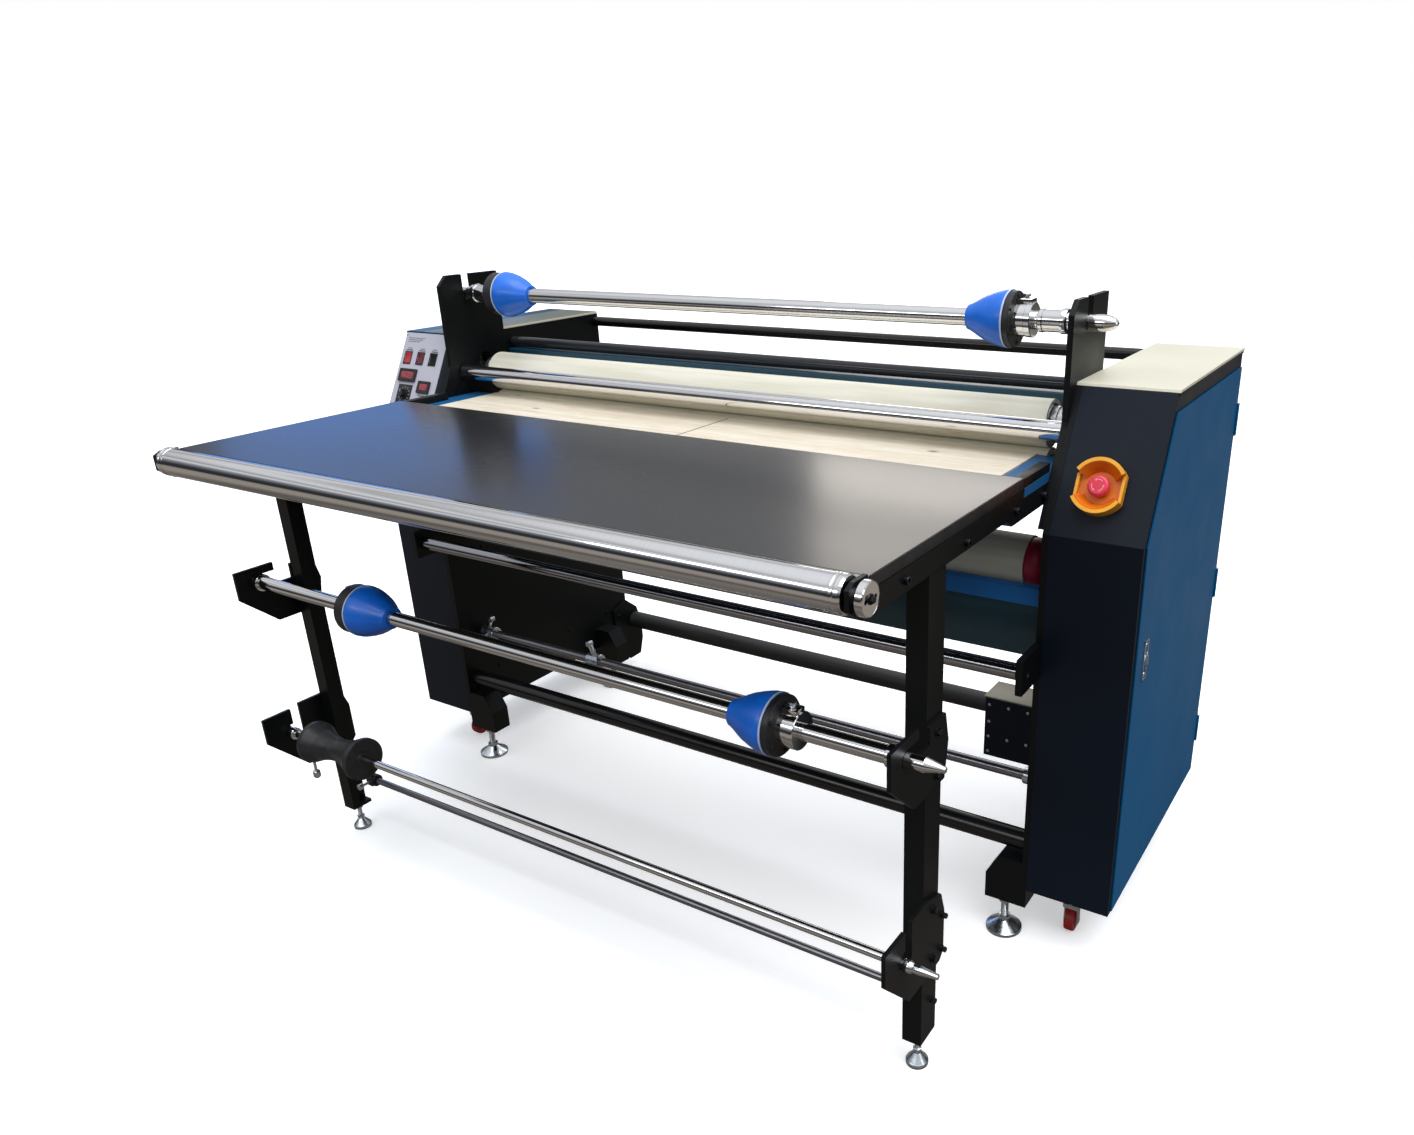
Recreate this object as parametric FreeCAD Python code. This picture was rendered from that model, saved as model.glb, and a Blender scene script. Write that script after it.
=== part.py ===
import FreeCAD, Part
import math
import os

# Cold roll laminator for sheets and boards up to 1.6 m wide.
# Millimetres. X runs along the rollers, -Y is the feed side, +Z is up from the floor.
# Pieces are drawn in machine coordinates and moved by Y_SHIFT when they are saved.

V = FreeCAD.Vector
Y_SHIFT = -17.5

# Cabinets and side plates
PLATE_IN = 868.0
PLATE_OUT = 880.0
HOUSING_OUT = 1062.5
DOOR_IN = 1063.0
DOOR_OUT = 1066.0
SHEET = 3.0
CAB_FRONT = -6.0
CAB_REAR = 698.0
CAB_BOTTOM = 131.0
BEND_Z = 955.0
FACET_RUN = 145.0
FACET_RISE = 265.0
CAP_Z0 = 1214.0
CAP_Z1 = 1220.0
FACET_LEN = math.hypot(FACET_RUN, FACET_RISE)
FACET_TILT = 90.0 - math.degrees(math.atan2(FACET_RUN, FACET_RISE))
DOOR_MARGIN = 16.0
HINGE_X = 1067.0
HINGE_Y = 693.0
LATCH_Y = 72.0
LATCH_Z = 703.0

# Roller axes as (y, z), radii and half lengths
UPPER_AXIS = (221.0, 1117.0)
LOWER_AXIS = (221.0, 1017.0)
PRESS_R = 49.8
PRESS_CORE_R = 42.0
PRESS_HALF = 797.0
JOURNAL_R = 20.0
LIFT_TRAVEL = 25.0
AUX_AXIS = (141.0, 842.0)
AUX_R = 55.0
IDLER_AXIS = (141.0, 1121.0)
IDLER_R = 20.0
DARK_AXIS = (340.0, 1177.0)
DARK_R = 14.0
UNDER_AXIS = (-75.0, 690.0)
UNDER_R = 17.0
FRONT_AXIS = (-697.0, 1062.0)
FRONT_R = 30.0
REAR_AXIS = (726.0, 172.0)
REAR_R = 28.0

# Unwind shafts
TOP_AXIS = (190.0, 1325.0)
MID_AXIS = (-562.0, 740.0)
LINER_AXIS = (-566.0, 337.0)
SHAFT_R = 18.0
MID_SHAFT_R = 16.0
NECK_R = 14.0
LINER_R = 9.0
CONE_TIP_R = 25.0
CONE_BASE_R = 56.0
CONE_LEN = 92.0
FLANGE_T = 13.0
HUB_R = 34.0
HUB_LEN = 36.0
TOP_TIP_X = 616.0
MID_LEFT_TIP_X = 372.0
MID_RIGHT_TIP_X = 527.0
CONE_CLEAR = 0.4
SPOOL_X0 = -762.0
SPOOL_X1 = -577.0
SPOOL_FLANGE_R = 51.0
SPOOL_NECK_R = 28.0

# Upright post plates
POST_IN = 856.0
POST_FRONT = 97.0
POST_REAR = 300.0
POST_TOP = 1374.0

# Feed table
TABLE_HALF = 854.0
TABLE_FRONT = -664.0
TABLE_REAR = -85.0
TABLE_TOP = 1082.0
TABLE_T = 22.0
LEG_X0 = 815.0
LEG_X1 = 855.0
LEG_Y0 = -474.0
LEG_Y1 = -412.0
FOOT_Y = -447.0
LOW_ROD_AXIS = (-447.0, 172.0)
LOW_ROD_R = 8.0
LEG_FOOT = 69.0

# Infeed tray and boards
TRAY_Z = 1044.0
BOARD_Z0 = 1050.0
BOARD_Z1 = 1064.0
BOARD_HALF = 785.0
SEAM_X = 5.0

# Control panel and emergency stop, in (x, distance up the slanted facet)
PANEL_X0 = -1062.0
PANEL_X1 = -892.0
ROCKERS = {"rocker_red": -1033.0, "rocker_maroon": -982.0, "rocker_black": -931.0}
ROCKER_S = 226.0
ROCKER_W = 22.0
ROCKER_H = 29.0
DISPLAYS = ((-1013.0, 176.0, 66.0, 36.0), (-938.0, 146.0, 46.0, 34.0))
KNOB_X = -1012.0
KNOB_S = 122.0
ESTOP_X = 960.0
ESTOP_S = 101.0

# Drive
MOTOR_AXIS = (330.0, 620.0)
SPROCKET_X0 = 932.0
SPROCKET_X1 = 944.0
MOTOR_SPROCKET_R = 34.0
ROLLER_SPROCKET_R = 44.0

# Floor fittings
FOOT_X = 826.0
FOOT_YS = (14.0, 560.0)
FOOT_R = 40.0
CASTER_X = 960.0
CASTER_YS = (85.0, 610.0)
WHEEL_R = 27.0
WHEEL_Z = 28.0
WHEEL_W = 20.0


def box(x0, x1, y0, y1, z0, z1):
    return Part.makeBox(x1 - x0, y1 - y0, z1 - z0, V(x0, y0, z0))


def cyl_x(x0, x1, axis, radius):
    return Part.makeCylinder(radius, x1 - x0, V(x0, axis[0], axis[1]), V(1, 0, 0))


def cyl_y(x, y0, y1, z, radius):
    return Part.makeCylinder(radius, y1 - y0, V(x, y0, z), V(0, 1, 0))


def cyl_z(x, y, z0, z1, radius):
    return Part.makeCylinder(radius, z1 - z0, V(x, y, z0), V(0, 0, 1))


def cone_x(x0, x1, axis, r0, r1):
    return Part.makeCone(r0, r1, x1 - x0, V(x0, axis[0], axis[1]), V(1, 0, 0))


def slab_x(x0, x1, outline):
    """Extrude a closed (y, z) outline from x0 to x1."""
    points = [V(x0, y, z) for y, z in outline]
    face = Part.Face(Part.makePolygon(points + [points[0]]))
    return face.extrude(V(x1 - x0, 0, 0))


def fuse(shapes):
    body = shapes[0]
    for shape in shapes[1:]:
        body = body.fuse(shape)
    return body.removeSplitter()


def cut(body, tools):
    for tool in tools:
        body = body.cut(tool)
    return body


def mirrored(shape):
    return shape.mirror(V(0, 0, 0), V(1, 0, 0))


def both(shape):
    return [mirrored(shape), shape]


def on_facet(shape):
    """Carry a piece drawn as (x, up the facet, outward) onto the slanted facet."""
    placed = shape.copy()
    placed.rotate(V(0, 0, 0), V(1, 0, 0), FACET_TILT)
    placed.translate(V(0, CAB_FRONT, BEND_Z))
    return placed


def save(name, shapes):
    solids = shapes if isinstance(shapes, list) else [shapes]
    moved = []
    for solid in solids:
        item = solid.copy()
        item.translate(V(0, Y_SHIFT, 0))
        moved.append(item)
    shape = moved[0] if len(moved) == 1 else Part.makeCompound(moved)
    shape.exportStep(os.path.join("parts", name + ".step"))


def facet_y(z):
    return CAB_FRONT + FACET_RUN * (z - BEND_Z) / FACET_RISE


def cabinet_outline(inset, top):
    """Side outline of a cabinet, moved inwards by an even inset."""
    slope = inset * FACET_LEN / FACET_RISE
    half = inset * math.tan(math.radians(90.0 - FACET_TILT) / 2.0)
    return [
        (CAB_FRONT + inset, CAB_BOTTOM + inset),
        (CAB_REAR - inset, CAB_BOTTOM + inset),
        (CAB_REAR - inset, top),
        (facet_y(top) + slope, top),
        (CAB_FRONT + inset, BEND_Z - half),
    ]


def side_plate():
    plate = slab_x(PLATE_IN, PLATE_OUT, cabinet_outline(0.0, CAP_Z0))
    holes = [cyl_x(860, 890, LOWER_AXIS, 22.0), cyl_x(860, 890, AUX_AXIS, JOURNAL_R + 0.6)]
    holes += [cyl_x(860, 890, DARK_AXIS, 7.5)]
    holes += journal_slot(860, 890)
    plate = cut(plate, holes)
    blocks = []
    for y in FOOT_YS:
        outline_x = [(784, 86), (784, 150), (812, 200), (PLATE_IN, 200), (PLATE_IN, 86)]
        points = [V(x, y - 20, z) for x, z in outline_x]
        face = Part.Face(Part.makePolygon(points + [points[0]]))
        block = face.extrude(V(0, 58, 0))
        lip = box(PLATE_IN, PLATE_OUT, y - 20, y + 38, 86, CAB_BOTTOM)
        block = fuse([block, lip])
        blocks.append(block.cut(cyl_z(FOOT_X, y, 60, 130, 8.5)))
    return fuse([plate] + blocks)


def journal_slot(x0, x1):
    y, z = UPPER_AXIS
    top = z + LIFT_TRAVEL + 1.0
    low = cyl_x(x0, x1, (y, z), 22.0)
    high = cyl_x(x0, x1, (y, top), 22.0)
    return [low, high, box(x0, x1, y - 22, y + 22, z, top)]


def vent_slots():
    slots = []
    for row in range(7):
        z = 360.0 + 16.0 * row
        slots.append(box(910, 1036, CAB_REAR - 10, CAB_REAR + 5, z, z + 6))
    return slots


def housing():
    outer = slab_x(PLATE_OUT, HOUSING_OUT, cabinet_outline(0.0, CAP_Z0))
    inner = slab_x(PLATE_OUT - 1, HOUSING_OUT + 1, cabinet_outline(SHEET, CAP_Z0 - SHEET))
    shell = cut(outer.cut(inner), vent_slots())
    rim = slab_x(HOUSING_OUT - SHEET, HOUSING_OUT, cabinet_outline(0.5, CAP_Z0 - 0.5))
    rim = rim.cut(slab_x(HOUSING_OUT - 9, HOUSING_OUT + 9, cabinet_outline(24.0, 1166.0)))
    return fuse([shell, rim])


def right_housing():
    stem = on_facet(cyl_z(ESTOP_X, ESTOP_S, -20, 20, 11.6))
    return housing().cut(stem)


def left_housing():
    window = on_facet(box(-1054, -904, 92, 252, -20, 20))
    return mirrored(housing()).cut(window)


def top_cap():
    z0, z1 = CAP_Z0, CAP_Z1
    outline = [(facet_y(z0), z0), (CAB_REAR, z0), (CAB_REAR, z1), (facet_y(z1), z1)]
    return slab_x(PLATE_IN, DOOR_OUT, outline)


def door():
    outline = cabinet_outline(DOOR_MARGIN, 1178.0)
    front = DOOR_MARGIN + CAB_FRONT
    sheet = slab_x(DOOR_IN, DOOR_OUT, outline)
    rear_strip = box(DOOR_IN, DOOR_OUT, CAB_REAR - DOOR_MARGIN, HINGE_Y, 142, 1178)
    lower = box(DOOR_IN, DOOR_OUT, front, HINGE_Y, 137, CAB_BOTTOM + DOOR_MARGIN)
    stiffener = box(DOOR_IN - 10, DOOR_IN, 330, 350, 220, 1100)
    barrels = [cyl_z(HINGE_X, HINGE_Y, z - 35, z + 35, 3.8) for z in (260, 660, 1060)]
    leaf = fuse([sheet, rear_strip, lower, stiffener] + barrels)
    return leaf.cut(cyl_x(DOOR_IN - 5, DOOR_OUT + 5, (LATCH_Y, LATCH_Z), 6.0))


def door_latch():
    axis = (LATCH_Y, LATCH_Z)
    stem = cyl_x(DOOR_IN - 9, DOOR_OUT + 1, axis, 5.4)
    head = cyl_x(DOOR_OUT + 0.3, DOOR_OUT + 3.0, axis, 11.0)
    grip = box(DOOR_OUT + 2, DOOR_OUT + 6, LATCH_Y - 3, LATCH_Y + 3, LATCH_Z - 10, LATCH_Z + 10)
    cam = box(DOOR_IN - 9, DOOR_IN - 5, LATCH_Y - 6, LATCH_Y + 6, LATCH_Z - 24, LATCH_Z + 6)
    return fuse([stem, head, grip, cam])


def post_plate():
    y, z = TOP_AXIS
    outline = [
        (facet_y(962.0), 962.0), (facet_y(1140.0), 1140.0), (POST_FRONT, 1150.0),
        (POST_FRONT, 1348.0), (124.0, POST_TOP), (POST_REAR, POST_TOP), (POST_REAR, 962.0),
    ]
    plate = slab_x(POST_IN, PLATE_IN, outline)
    slot = [cyl_x(850, 875, TOP_AXIS, NECK_R + 1.0)]
    slot.append(box(850, 875, y - NECK_R - 1, y + NECK_R + 1, z, POST_TOP + 5))
    slot.append(cyl_x(850, 875, IDLER_AXIS, 8.6))
    slot.append(cyl_x(850, 875, LOWER_AXIS, 22.0))
    return cut(plate, slot + journal_slot(850, 875))


def rear_bracket():
    outline = [
        (628, 236), (690, 256), (742, 214), (762, 150), (762, 92), (744, 36), (690, 34),
        (628, 96),
    ]
    plate = slab_x(PLATE_IN - 8, PLATE_IN, outline)
    return plate.cut(cyl_x(850, 880, REAR_AXIS, 10.6))


def under_bracket():
    plate = box(866, PLATE_OUT, -104, CAB_FRONT, 652, 728)
    return plate.cut(cyl_x(860, 885, UNDER_AXIS, 8.6))


def mid_bracket():
    outline = [
        (-614, 706), (-614, 774), (-517, 774), (-517, 722), (-476, 722), (-476, 757),
        (-415, 757), (-402, 700), (-415, 629), (-530, 629),
    ]
    plate = slab_x(LEG_X1, LEG_X1 + 8, outline)
    y, z = MID_AXIS
    seat = [cyl_x(850, 870, MID_AXIS, NECK_R + 0.6)]
    seat.append(box(850, 870, y, -516, z - NECK_R - 0.6, z + NECK_R + 0.6))
    return cut(plate, seat)


def liner_bracket():
    outline = [
        (-632, 332), (-632, 398), (-558, 398), (-558, 357), (-534, 357), (-534, 404),
        (-470, 404), (-415, 386), (-400, 342), (-400, 250), (-415, 234), (-540, 234),
    ]
    plate = slab_x(LEG_X1, LEG_X1 + 8, outline)
    y, z = LINER_AXIS
    seat = [cyl_x(850, 870, LINER_AXIS, LINER_R + 0.6)]
    seat.append(box(850, 870, y, -534, z - LINER_R - 0.6, 358))
    return cut(plate, seat)


def roller(axis, radius, half, journal, reach):
    drum = cyl_x(-half, half, axis, radius)
    return fuse([drum, cyl_x(-reach, reach, axis, journal)])


def sleeve(axis, outer, inner, half):
    return cyl_x(-half, half, axis, outer).cut(cyl_x(-half - 1, half + 1, axis, inner))


def press_core(axis, right_end):
    drum = cyl_x(-PRESS_HALF, PRESS_HALF, axis, PRESS_CORE_R)
    collar = cyl_x(-832, 832, axis, 31.0)
    journal = cyl_x(-912, right_end, axis, JOURNAL_R)
    body = fuse([drum, collar, journal])
    return cut(body, [cyl_x(-785, 785, axis, PRESS_CORE_R - 10), cyl_x(-920, 960, axis, 5.0)])


def sprocket(x0, x1, axis, radius, bore, teeth):
    disc = cyl_x(x0, x1, axis, radius)
    notches = []
    for index in range(teeth):
        angle = 2.0 * math.pi * index / teeth
        y = axis[0] + radius * math.cos(angle)
        z = axis[1] + radius * math.sin(angle)
        notches.append(cyl_x(x0 - 1, x1 + 1, (y, z), 3.2))
    if bore > 0:
        notches.append(cyl_x(x0 - 1, x1 + 1, axis, bore))
    return cut(disc, notches)


def lift_block():
    y, z = UPPER_AXIS
    block = box(886, 916, y - 45, y + 45, z - 44, z + 46)
    lug = box(886, 916, y + 44, y + 118, z - 20, z + 14)
    rod = cyl_z(908, y + 94, 905, z - 18, 8.0)
    body = fuse([block, lug, rod])
    return body.cut(cyl_x(880, 920, UPPER_AXIS, JOURNAL_R + 0.5))


def lower_bearing():
    y, z = LOWER_AXIS
    block = box(PLATE_OUT, 916, y - 45, y + 45, z - 45, z + 45)
    rail = box(PLATE_OUT, 916, y - 62, y - 46, z - 45, z + 190)
    body = fuse([block, box(PLATE_OUT, 916, y - 62, y - 44, z - 45, z + 45), rail])
    return body.cut(cyl_x(870, 920, LOWER_AXIS, JOURNAL_R + 0.5))


def lift_cylinder():
    y = UPPER_AXIS[0] + 94
    tube = cyl_z(908, y, 740, 1030, 22.0)
    foot = box(PLATE_OUT, 900, y - 18, y + 18, 760, 800)
    body = fuse([tube, foot])
    return body.cut(cyl_z(908, y, 895, 1040, 8.6))


def drive_motor():
    y, z = MOTOR_AXIS
    gearbox = box(955, 1035, y - 60, y + 60, z - 60, z + 60)
    shelf = box(PLATE_OUT, 1035, y - 60, y + 60, z - 70, z - 60)
    motor = cyl_y(995, y + 60, y + 230, z, 39.0)
    bell = cyl_y(995, y + 230, y + 250, z, 33.0)
    body = fuse([gearbox, shelf, motor, bell])
    return body.cut(cyl_x(950, 990, MOTOR_AXIS, 11.0))


def motor_sprocket():
    disc = sprocket(SPROCKET_X0, SPROCKET_X1, MOTOR_AXIS, MOTOR_SPROCKET_R, 0.0, 17)
    return fuse([disc, cyl_x(SPROCKET_X0, 985, MOTOR_AXIS, 10.0)])


def loop_face(x, first, r_first, second, r_second):
    """Open-belt outline round two circles, as a face in the plane X = x."""
    dy, dz = second[0] - first[0], second[1] - first[1]
    span = math.hypot(dy, dz)
    base = math.atan2(dz, dy)
    lean = math.acos((r_first - r_second) / span)

    def rim(centre, radius, angle):
        return V(x, centre[0] + radius * math.cos(angle), centre[1] + radius * math.sin(angle))

    a0 = rim(first, r_first, base + lean)
    a1 = rim(first, r_first, base + math.pi)
    a2 = rim(first, r_first, base - lean)
    b0 = rim(second, r_second, base - lean)
    b1 = rim(second, r_second, base)
    b2 = rim(second, r_second, base + lean)
    edges = [Part.Arc(a0, a1, a2).toShape(), Part.makeLine(a2, b0)]
    edges += [Part.Arc(b0, b1, b2).toShape(), Part.makeLine(b2, a0)]
    return Part.Face(Part.Wire(edges))


def drive_chain():
    x0, depth = SPROCKET_X0 + 2.0, SPROCKET_X1 - SPROCKET_X0 - 4.0
    gap, height = 0.6, 8.0
    small, large = MOTOR_SPROCKET_R, ROLLER_SPROCKET_R
    outer = loop_face(x0, LOWER_AXIS, large + height, MOTOR_AXIS, small + height)
    inner = loop_face(x0, LOWER_AXIS, large + gap, MOTOR_AXIS, small + gap)
    return outer.cut(inner).extrude(V(depth, 0, 0))


def control_box():
    shell = box(-1040, -PLATE_OUT, 350, 580, 420, 760)
    return shell.cut(box(-1037, -PLATE_OUT - 3, 353, 577, 423, 757))


def estop_contacts():
    block = on_facet(box(ESTOP_X - 20, ESTOP_X + 20, ESTOP_S - 20, ESTOP_S + 20, -52, -SHEET))
    return block.cut(on_facet(cyl_z(ESTOP_X, ESTOP_S, -30, 10, 10.6)))


def control_panel():
    plate = box(PANEL_X0, PANEL_X1, 22, 298, 0.0, 2.0)
    holes = []
    for x in ROCKERS.values():
        w, h = ROCKER_W / 2.0 + 0.7, ROCKER_H / 2.0 + 0.7
        holes.append(box(x - w, x + w, ROCKER_S - h, ROCKER_S + h, -1, 5))
    holes.append(cyl_z(KNOB_X, KNOB_S, -1, 5, 4.0))
    return on_facet(cut(plate, holes))


def rocker(x):
    w, h = ROCKER_W / 2.0, ROCKER_H / 2.0
    body = box(x - w, x + w, ROCKER_S - h, ROCKER_S + h, -8.0, 3.0)
    dish = Part.makeCylinder(60.0, ROCKER_W + 2, V(x - w - 1, ROCKER_S, 61.8), V(1, 0, 0))
    return on_facet(body.cut(dish))


def display(x, s, width, height):
    case = box(x - width / 2, x + width / 2, s - height / 2, s + height / 2, 2.0, 8.0)
    recess = box(x - width / 2 + 5, x + width / 2 - 5, s - height / 2 + 6, s + height / 2 - 6, 6.5, 9)
    return on_facet(case.cut(recess))


def panel_knob():
    skirt = cyl_z(KNOB_X, KNOB_S, 2.4, 6.0, 14.0)
    grip = cyl_z(KNOB_X, KNOB_S, 6.0, 17.0, 10.0)
    pointer = box(KNOB_X - 1.2, KNOB_X + 1.2, KNOB_S, KNOB_S + 12.0, 6.0, 17.6)
    stem = cyl_z(KNOB_X, KNOB_S, -14.0, 3.0, 3.5)
    return on_facet(fuse([skirt, grip, pointer, stem]))


def estop_guard():
    base = cyl_z(ESTOP_X, ESTOP_S, 0.0, 5.0, 50.0)
    side = box(ESTOP_X - 48, ESTOP_X + 48, ESTOP_S - 56, ESTOP_S + 56, -1, 40)
    wall = cyl_z(ESTOP_X, ESTOP_S, 0.0, 30.0, 55.0).cut(cyl_z(ESTOP_X, ESTOP_S, -1, 31, 40.0))
    gate = box(ESTOP_X - 60, ESTOP_X + 60, ESTOP_S - 24, ESTOP_S + 24, 5.0, 40)
    ring = fuse([base, wall.cut(gate)]).common(side)
    return on_facet(ring.cut(cyl_z(ESTOP_X, ESTOP_S, -1, 10, 14.5)))


def estop_button():
    stem = cyl_z(ESTOP_X, ESTOP_S, -18.0, 16.0, 10.0)
    head = cyl_z(ESTOP_X, ESTOP_S, 14.0, 24.0, 20.0)
    crown = Part.makeCone(20.0, 15.0, 4.0, V(ESTOP_X, ESTOP_S, 24.0))
    return on_facet(fuse([stem, head, crown]))


def infeed_tray():
    base = box(-POST_IN, POST_IN, TABLE_REAR + 5, 170, TRAY_Z, BOARD_Z0)
    margins = both(box(BOARD_HALF + 3, POST_IN, TABLE_REAR + 5, 170, TRAY_Z, BOARD_Z1 - 2))
    front = box(-834, 834, TABLE_REAR + 5, TABLE_REAR + 8, 985, TRAY_Z + 1)
    return fuse([base, front] + margins)


def infeed_boards():
    left = box(-BOARD_HALF, SEAM_X - 0.6, TABLE_REAR + 5, 176, BOARD_Z0, BOARD_Z1)
    right = box(SEAM_X + 0.6, BOARD_HALF, TABLE_REAR + 5, 176, BOARD_Z0, BOARD_Z1)
    return [left, right]


def front_apron():
    outline = [
        (58, 665), (58, 767), (74, 808), (88, 812), (88, 809.5), (76, 806), (60.4, 766.4),
        (60.4, 667.4), (84, 667.4), (84, 665),
    ]
    return slab_x(-PLATE_IN, PLATE_IN, outline)


def rear_beam():
    tube = box(-PLATE_IN, PLATE_IN, 318, 362, 1095, 1160)
    return tube.cut(box(-PLATE_IN - 1, PLATE_IN + 1, 321, 359, 1098, 1157))


def drive_box():
    case = box(661, PLATE_IN, 254, 337, 287, 443)
    return case.cut(box(664, PLATE_IN - 3, 257, 334, 290, 440))


def shaft(axis, radius, neck, x0, x1, shoulder):
    body = cyl_x(-shoulder, shoulder, axis, radius)
    spigot = cyl_x(x0 + 34, x1 - 34, axis, neck)
    tips = [cone_x(x0, x0 + 34, axis, 5.0, neck), cone_x(x1 - 34, x1, axis, neck, 5.0)]
    return fuse([body, spigot] + tips)


def cone(axis, tip_x, way, bore):
    """Core-holding cone: tip towards the middle, base outwards (way is +1 or -1)."""
    steps = [(0.0, CONE_TIP_R), (0.30, 38.0), (0.62, 50.0), (0.86, CONE_BASE_R), (1.0, CONE_BASE_R)]
    profile = [V(tip_x + way * CONE_LEN * t, axis[0], axis[1] + r) for t, r in steps]
    profile.append(V(tip_x + way * CONE_LEN, axis[0], axis[1] + bore))
    profile.append(V(tip_x, axis[0], axis[1] + bore))
    face = Part.Face(Part.makePolygon(profile + [profile[0]]))
    return face.revolve(V(0, axis[0], axis[1]), V(1, 0, 0), 360)


def hub(axis, tip_x, way, bore):
    start = tip_x + way * CONE_LEN
    first = start + way * FLANGE_T
    last = first + way * HUB_LEN
    flange = cyl_x(min(start, first), max(start, first), axis, CONE_BASE_R - 2)
    barrel = cyl_x(min(first, last), max(first, last), axis, HUB_R)
    middle = (first + last) / 2.0
    screw = cyl_z(middle, axis[0], axis[1] + HUB_R - 2, axis[1] + HUB_R + 16, 5.0)
    body = fuse([flange, barrel, screw])
    return body.cut(cyl_x(min(start, last) - 1, max(start, last) + 1, axis, bore))


def core_spool():
    length = SPOOL_X1 - SPOOL_X0
    steps = [
        (0.0, SPOOL_FLANGE_R), (0.06, SPOOL_FLANGE_R), (0.22, 38.0), (0.38, 30.5),
        (0.5, SPOOL_NECK_R), (0.62, 30.5), (0.78, 38.0), (0.94, SPOOL_FLANGE_R), (1.0, SPOOL_FLANGE_R),
    ]
    y, z = LINER_AXIS
    profile = [V(SPOOL_X0 + length * t, y, z + r) for t, r in steps]
    profile.append(V(SPOOL_X1, y, z + LINER_R + CONE_CLEAR))
    profile.append(V(SPOOL_X0, y, z + LINER_R + CONE_CLEAR))
    face = Part.Face(Part.makePolygon(profile + [profile[0]]))
    return face.revolve(V(0, y, z), V(1, 0, 0), 360)


def table_top():
    slab = box(-TABLE_HALF, TABLE_HALF, TABLE_FRONT, TABLE_REAR, TABLE_TOP - TABLE_T, TABLE_TOP)
    return slab


def leg():
    """Folded channel: front web, deep outer flange, shallow inner lip and a foot plate."""
    under = TABLE_TOP - TABLE_T
    web = box(LEG_X0, LEG_X1, LEG_Y0, LEG_Y0 + 4, LEG_FOOT, under)
    flange = box(LEG_X1 - 4, LEG_X1, LEG_Y0, LEG_Y1, LEG_FOOT, under)
    lip = box(LEG_X0, LEG_X0 + 4, LEG_Y0, LEG_Y0 + 22, LEG_FOOT, under)
    plate = box(LEG_X0, LEG_X1, LEG_Y0, LEG_Y1 - 8, LEG_FOOT, LEG_FOOT + 8)
    body = fuse([web, flange, lip, plate])
    stud = cyl_z((LEG_X0 + LEG_X1) / 2.0, FOOT_Y, 60, 90, 5.4)
    return cut(body, [stud, cyl_x(LEG_X0 - 1, LEG_X1 - 4, LOW_ROD_AXIS, LOW_ROD_R)])


def table_arm():
    under = TABLE_TOP - TABLE_T
    outline = [
        (TABLE_FRONT, under), (TABLE_REAR, under), (TABLE_REAR, TRAY_Z), (62, TRAY_Z),
        (62, 1004), (-130, 1004), (-160, 1020), (TABLE_FRONT, 1020),
    ]
    arm = slab_x(LEG_X1 - 4, POST_IN, outline)
    inner = box(LEG_X0, LEG_X1 - 4, TABLE_FRONT + 20, LEG_Y0, 1024, under)
    inner_rear = box(LEG_X0, LEG_X1 - 4, LEG_Y1, TABLE_REAR - 20, 1024, under)
    tip = [
        (TABLE_FRONT, under), (TABLE_FRONT, 1020), (-690, 1024), (-722, 1046), (-722, 1078),
        (-706, 1086), (-668, 1086), (-668, under),
    ]
    plate = slab_x(LEG_X1 - 9, LEG_X1 - 1, tip)
    link = box(LEG_X1 - 9, LEG_X1 - 4, TABLE_FRONT, TABLE_FRONT + 60, 1020, under)
    plate = plate.cut(cyl_x(840, 860, FRONT_AXIS, 10.6))
    return fuse([arm, inner, inner_rear, plate, link])


def channel(y0, y1, z0):
    """Cross rail of the table, open underneath."""
    half, under = LEG_X1 - 4.0, TABLE_TOP - TABLE_T
    rail = box(-half, half, y0, y1, z0, under)
    return rail.cut(box(-LEG_X0, LEG_X0, y0 + 3, y1 - 3, z0 - 1, under - 3))


def table_frame():
    rails = [channel(LEG_Y0, LEG_Y1, 1020), channel(-640, -610, 1030), channel(-180, -150, 1030)]
    return fuse(both(leg()) + both(table_arm()) + rails)


def front_roller():
    """Hollow drum on an axle, with a round disc outside the right table arm."""
    drum = cyl_x(-838, 838, FRONT_AXIS, FRONT_R)
    axle = cyl_x(-856, 870, FRONT_AXIS, 10.0)
    disc = cyl_x(862, 874, FRONT_AXIS, 26.0)
    holes = [cyl_x(-815, 815, FRONT_AXIS, FRONT_R - 5), cyl_x(-860, 880, FRONT_AXIS, 4.0)]
    for dy in (-14, 14):
        axis = (FRONT_AXIS[0] + dy, FRONT_AXIS[1])
        holes.append(cyl_x(860, 880, axis, 4.0))
    return cut(fuse([drum, axle, disc]), holes)


def levelling_foot(x, y, radius, stud_r, top):
    pad = cyl_z(x, y, 0, 8, radius)
    dome = Part.makeCone(radius, stud_r * 1.6, 18.0, V(x, y, 8.0))
    stud = cyl_z(x, y, 20, top, stud_r)
    nut = cyl_z(x, y, top - 30, top - 20, stud_r * 1.8)
    return fuse([pad, dome, stud, nut])


def levelling_feet():
    feet = []
    for side in (-1, 1):
        for y in FOOT_YS:
            feet.append(levelling_foot(side * FOOT_X, y, FOOT_R, 8.0, 106.0))
        x = side * (LEG_X0 + LEG_X1) / 2.0
        feet.append(levelling_foot(x, FOOT_Y, 22.0, 5.0, 88.0))
    return feet


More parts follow.
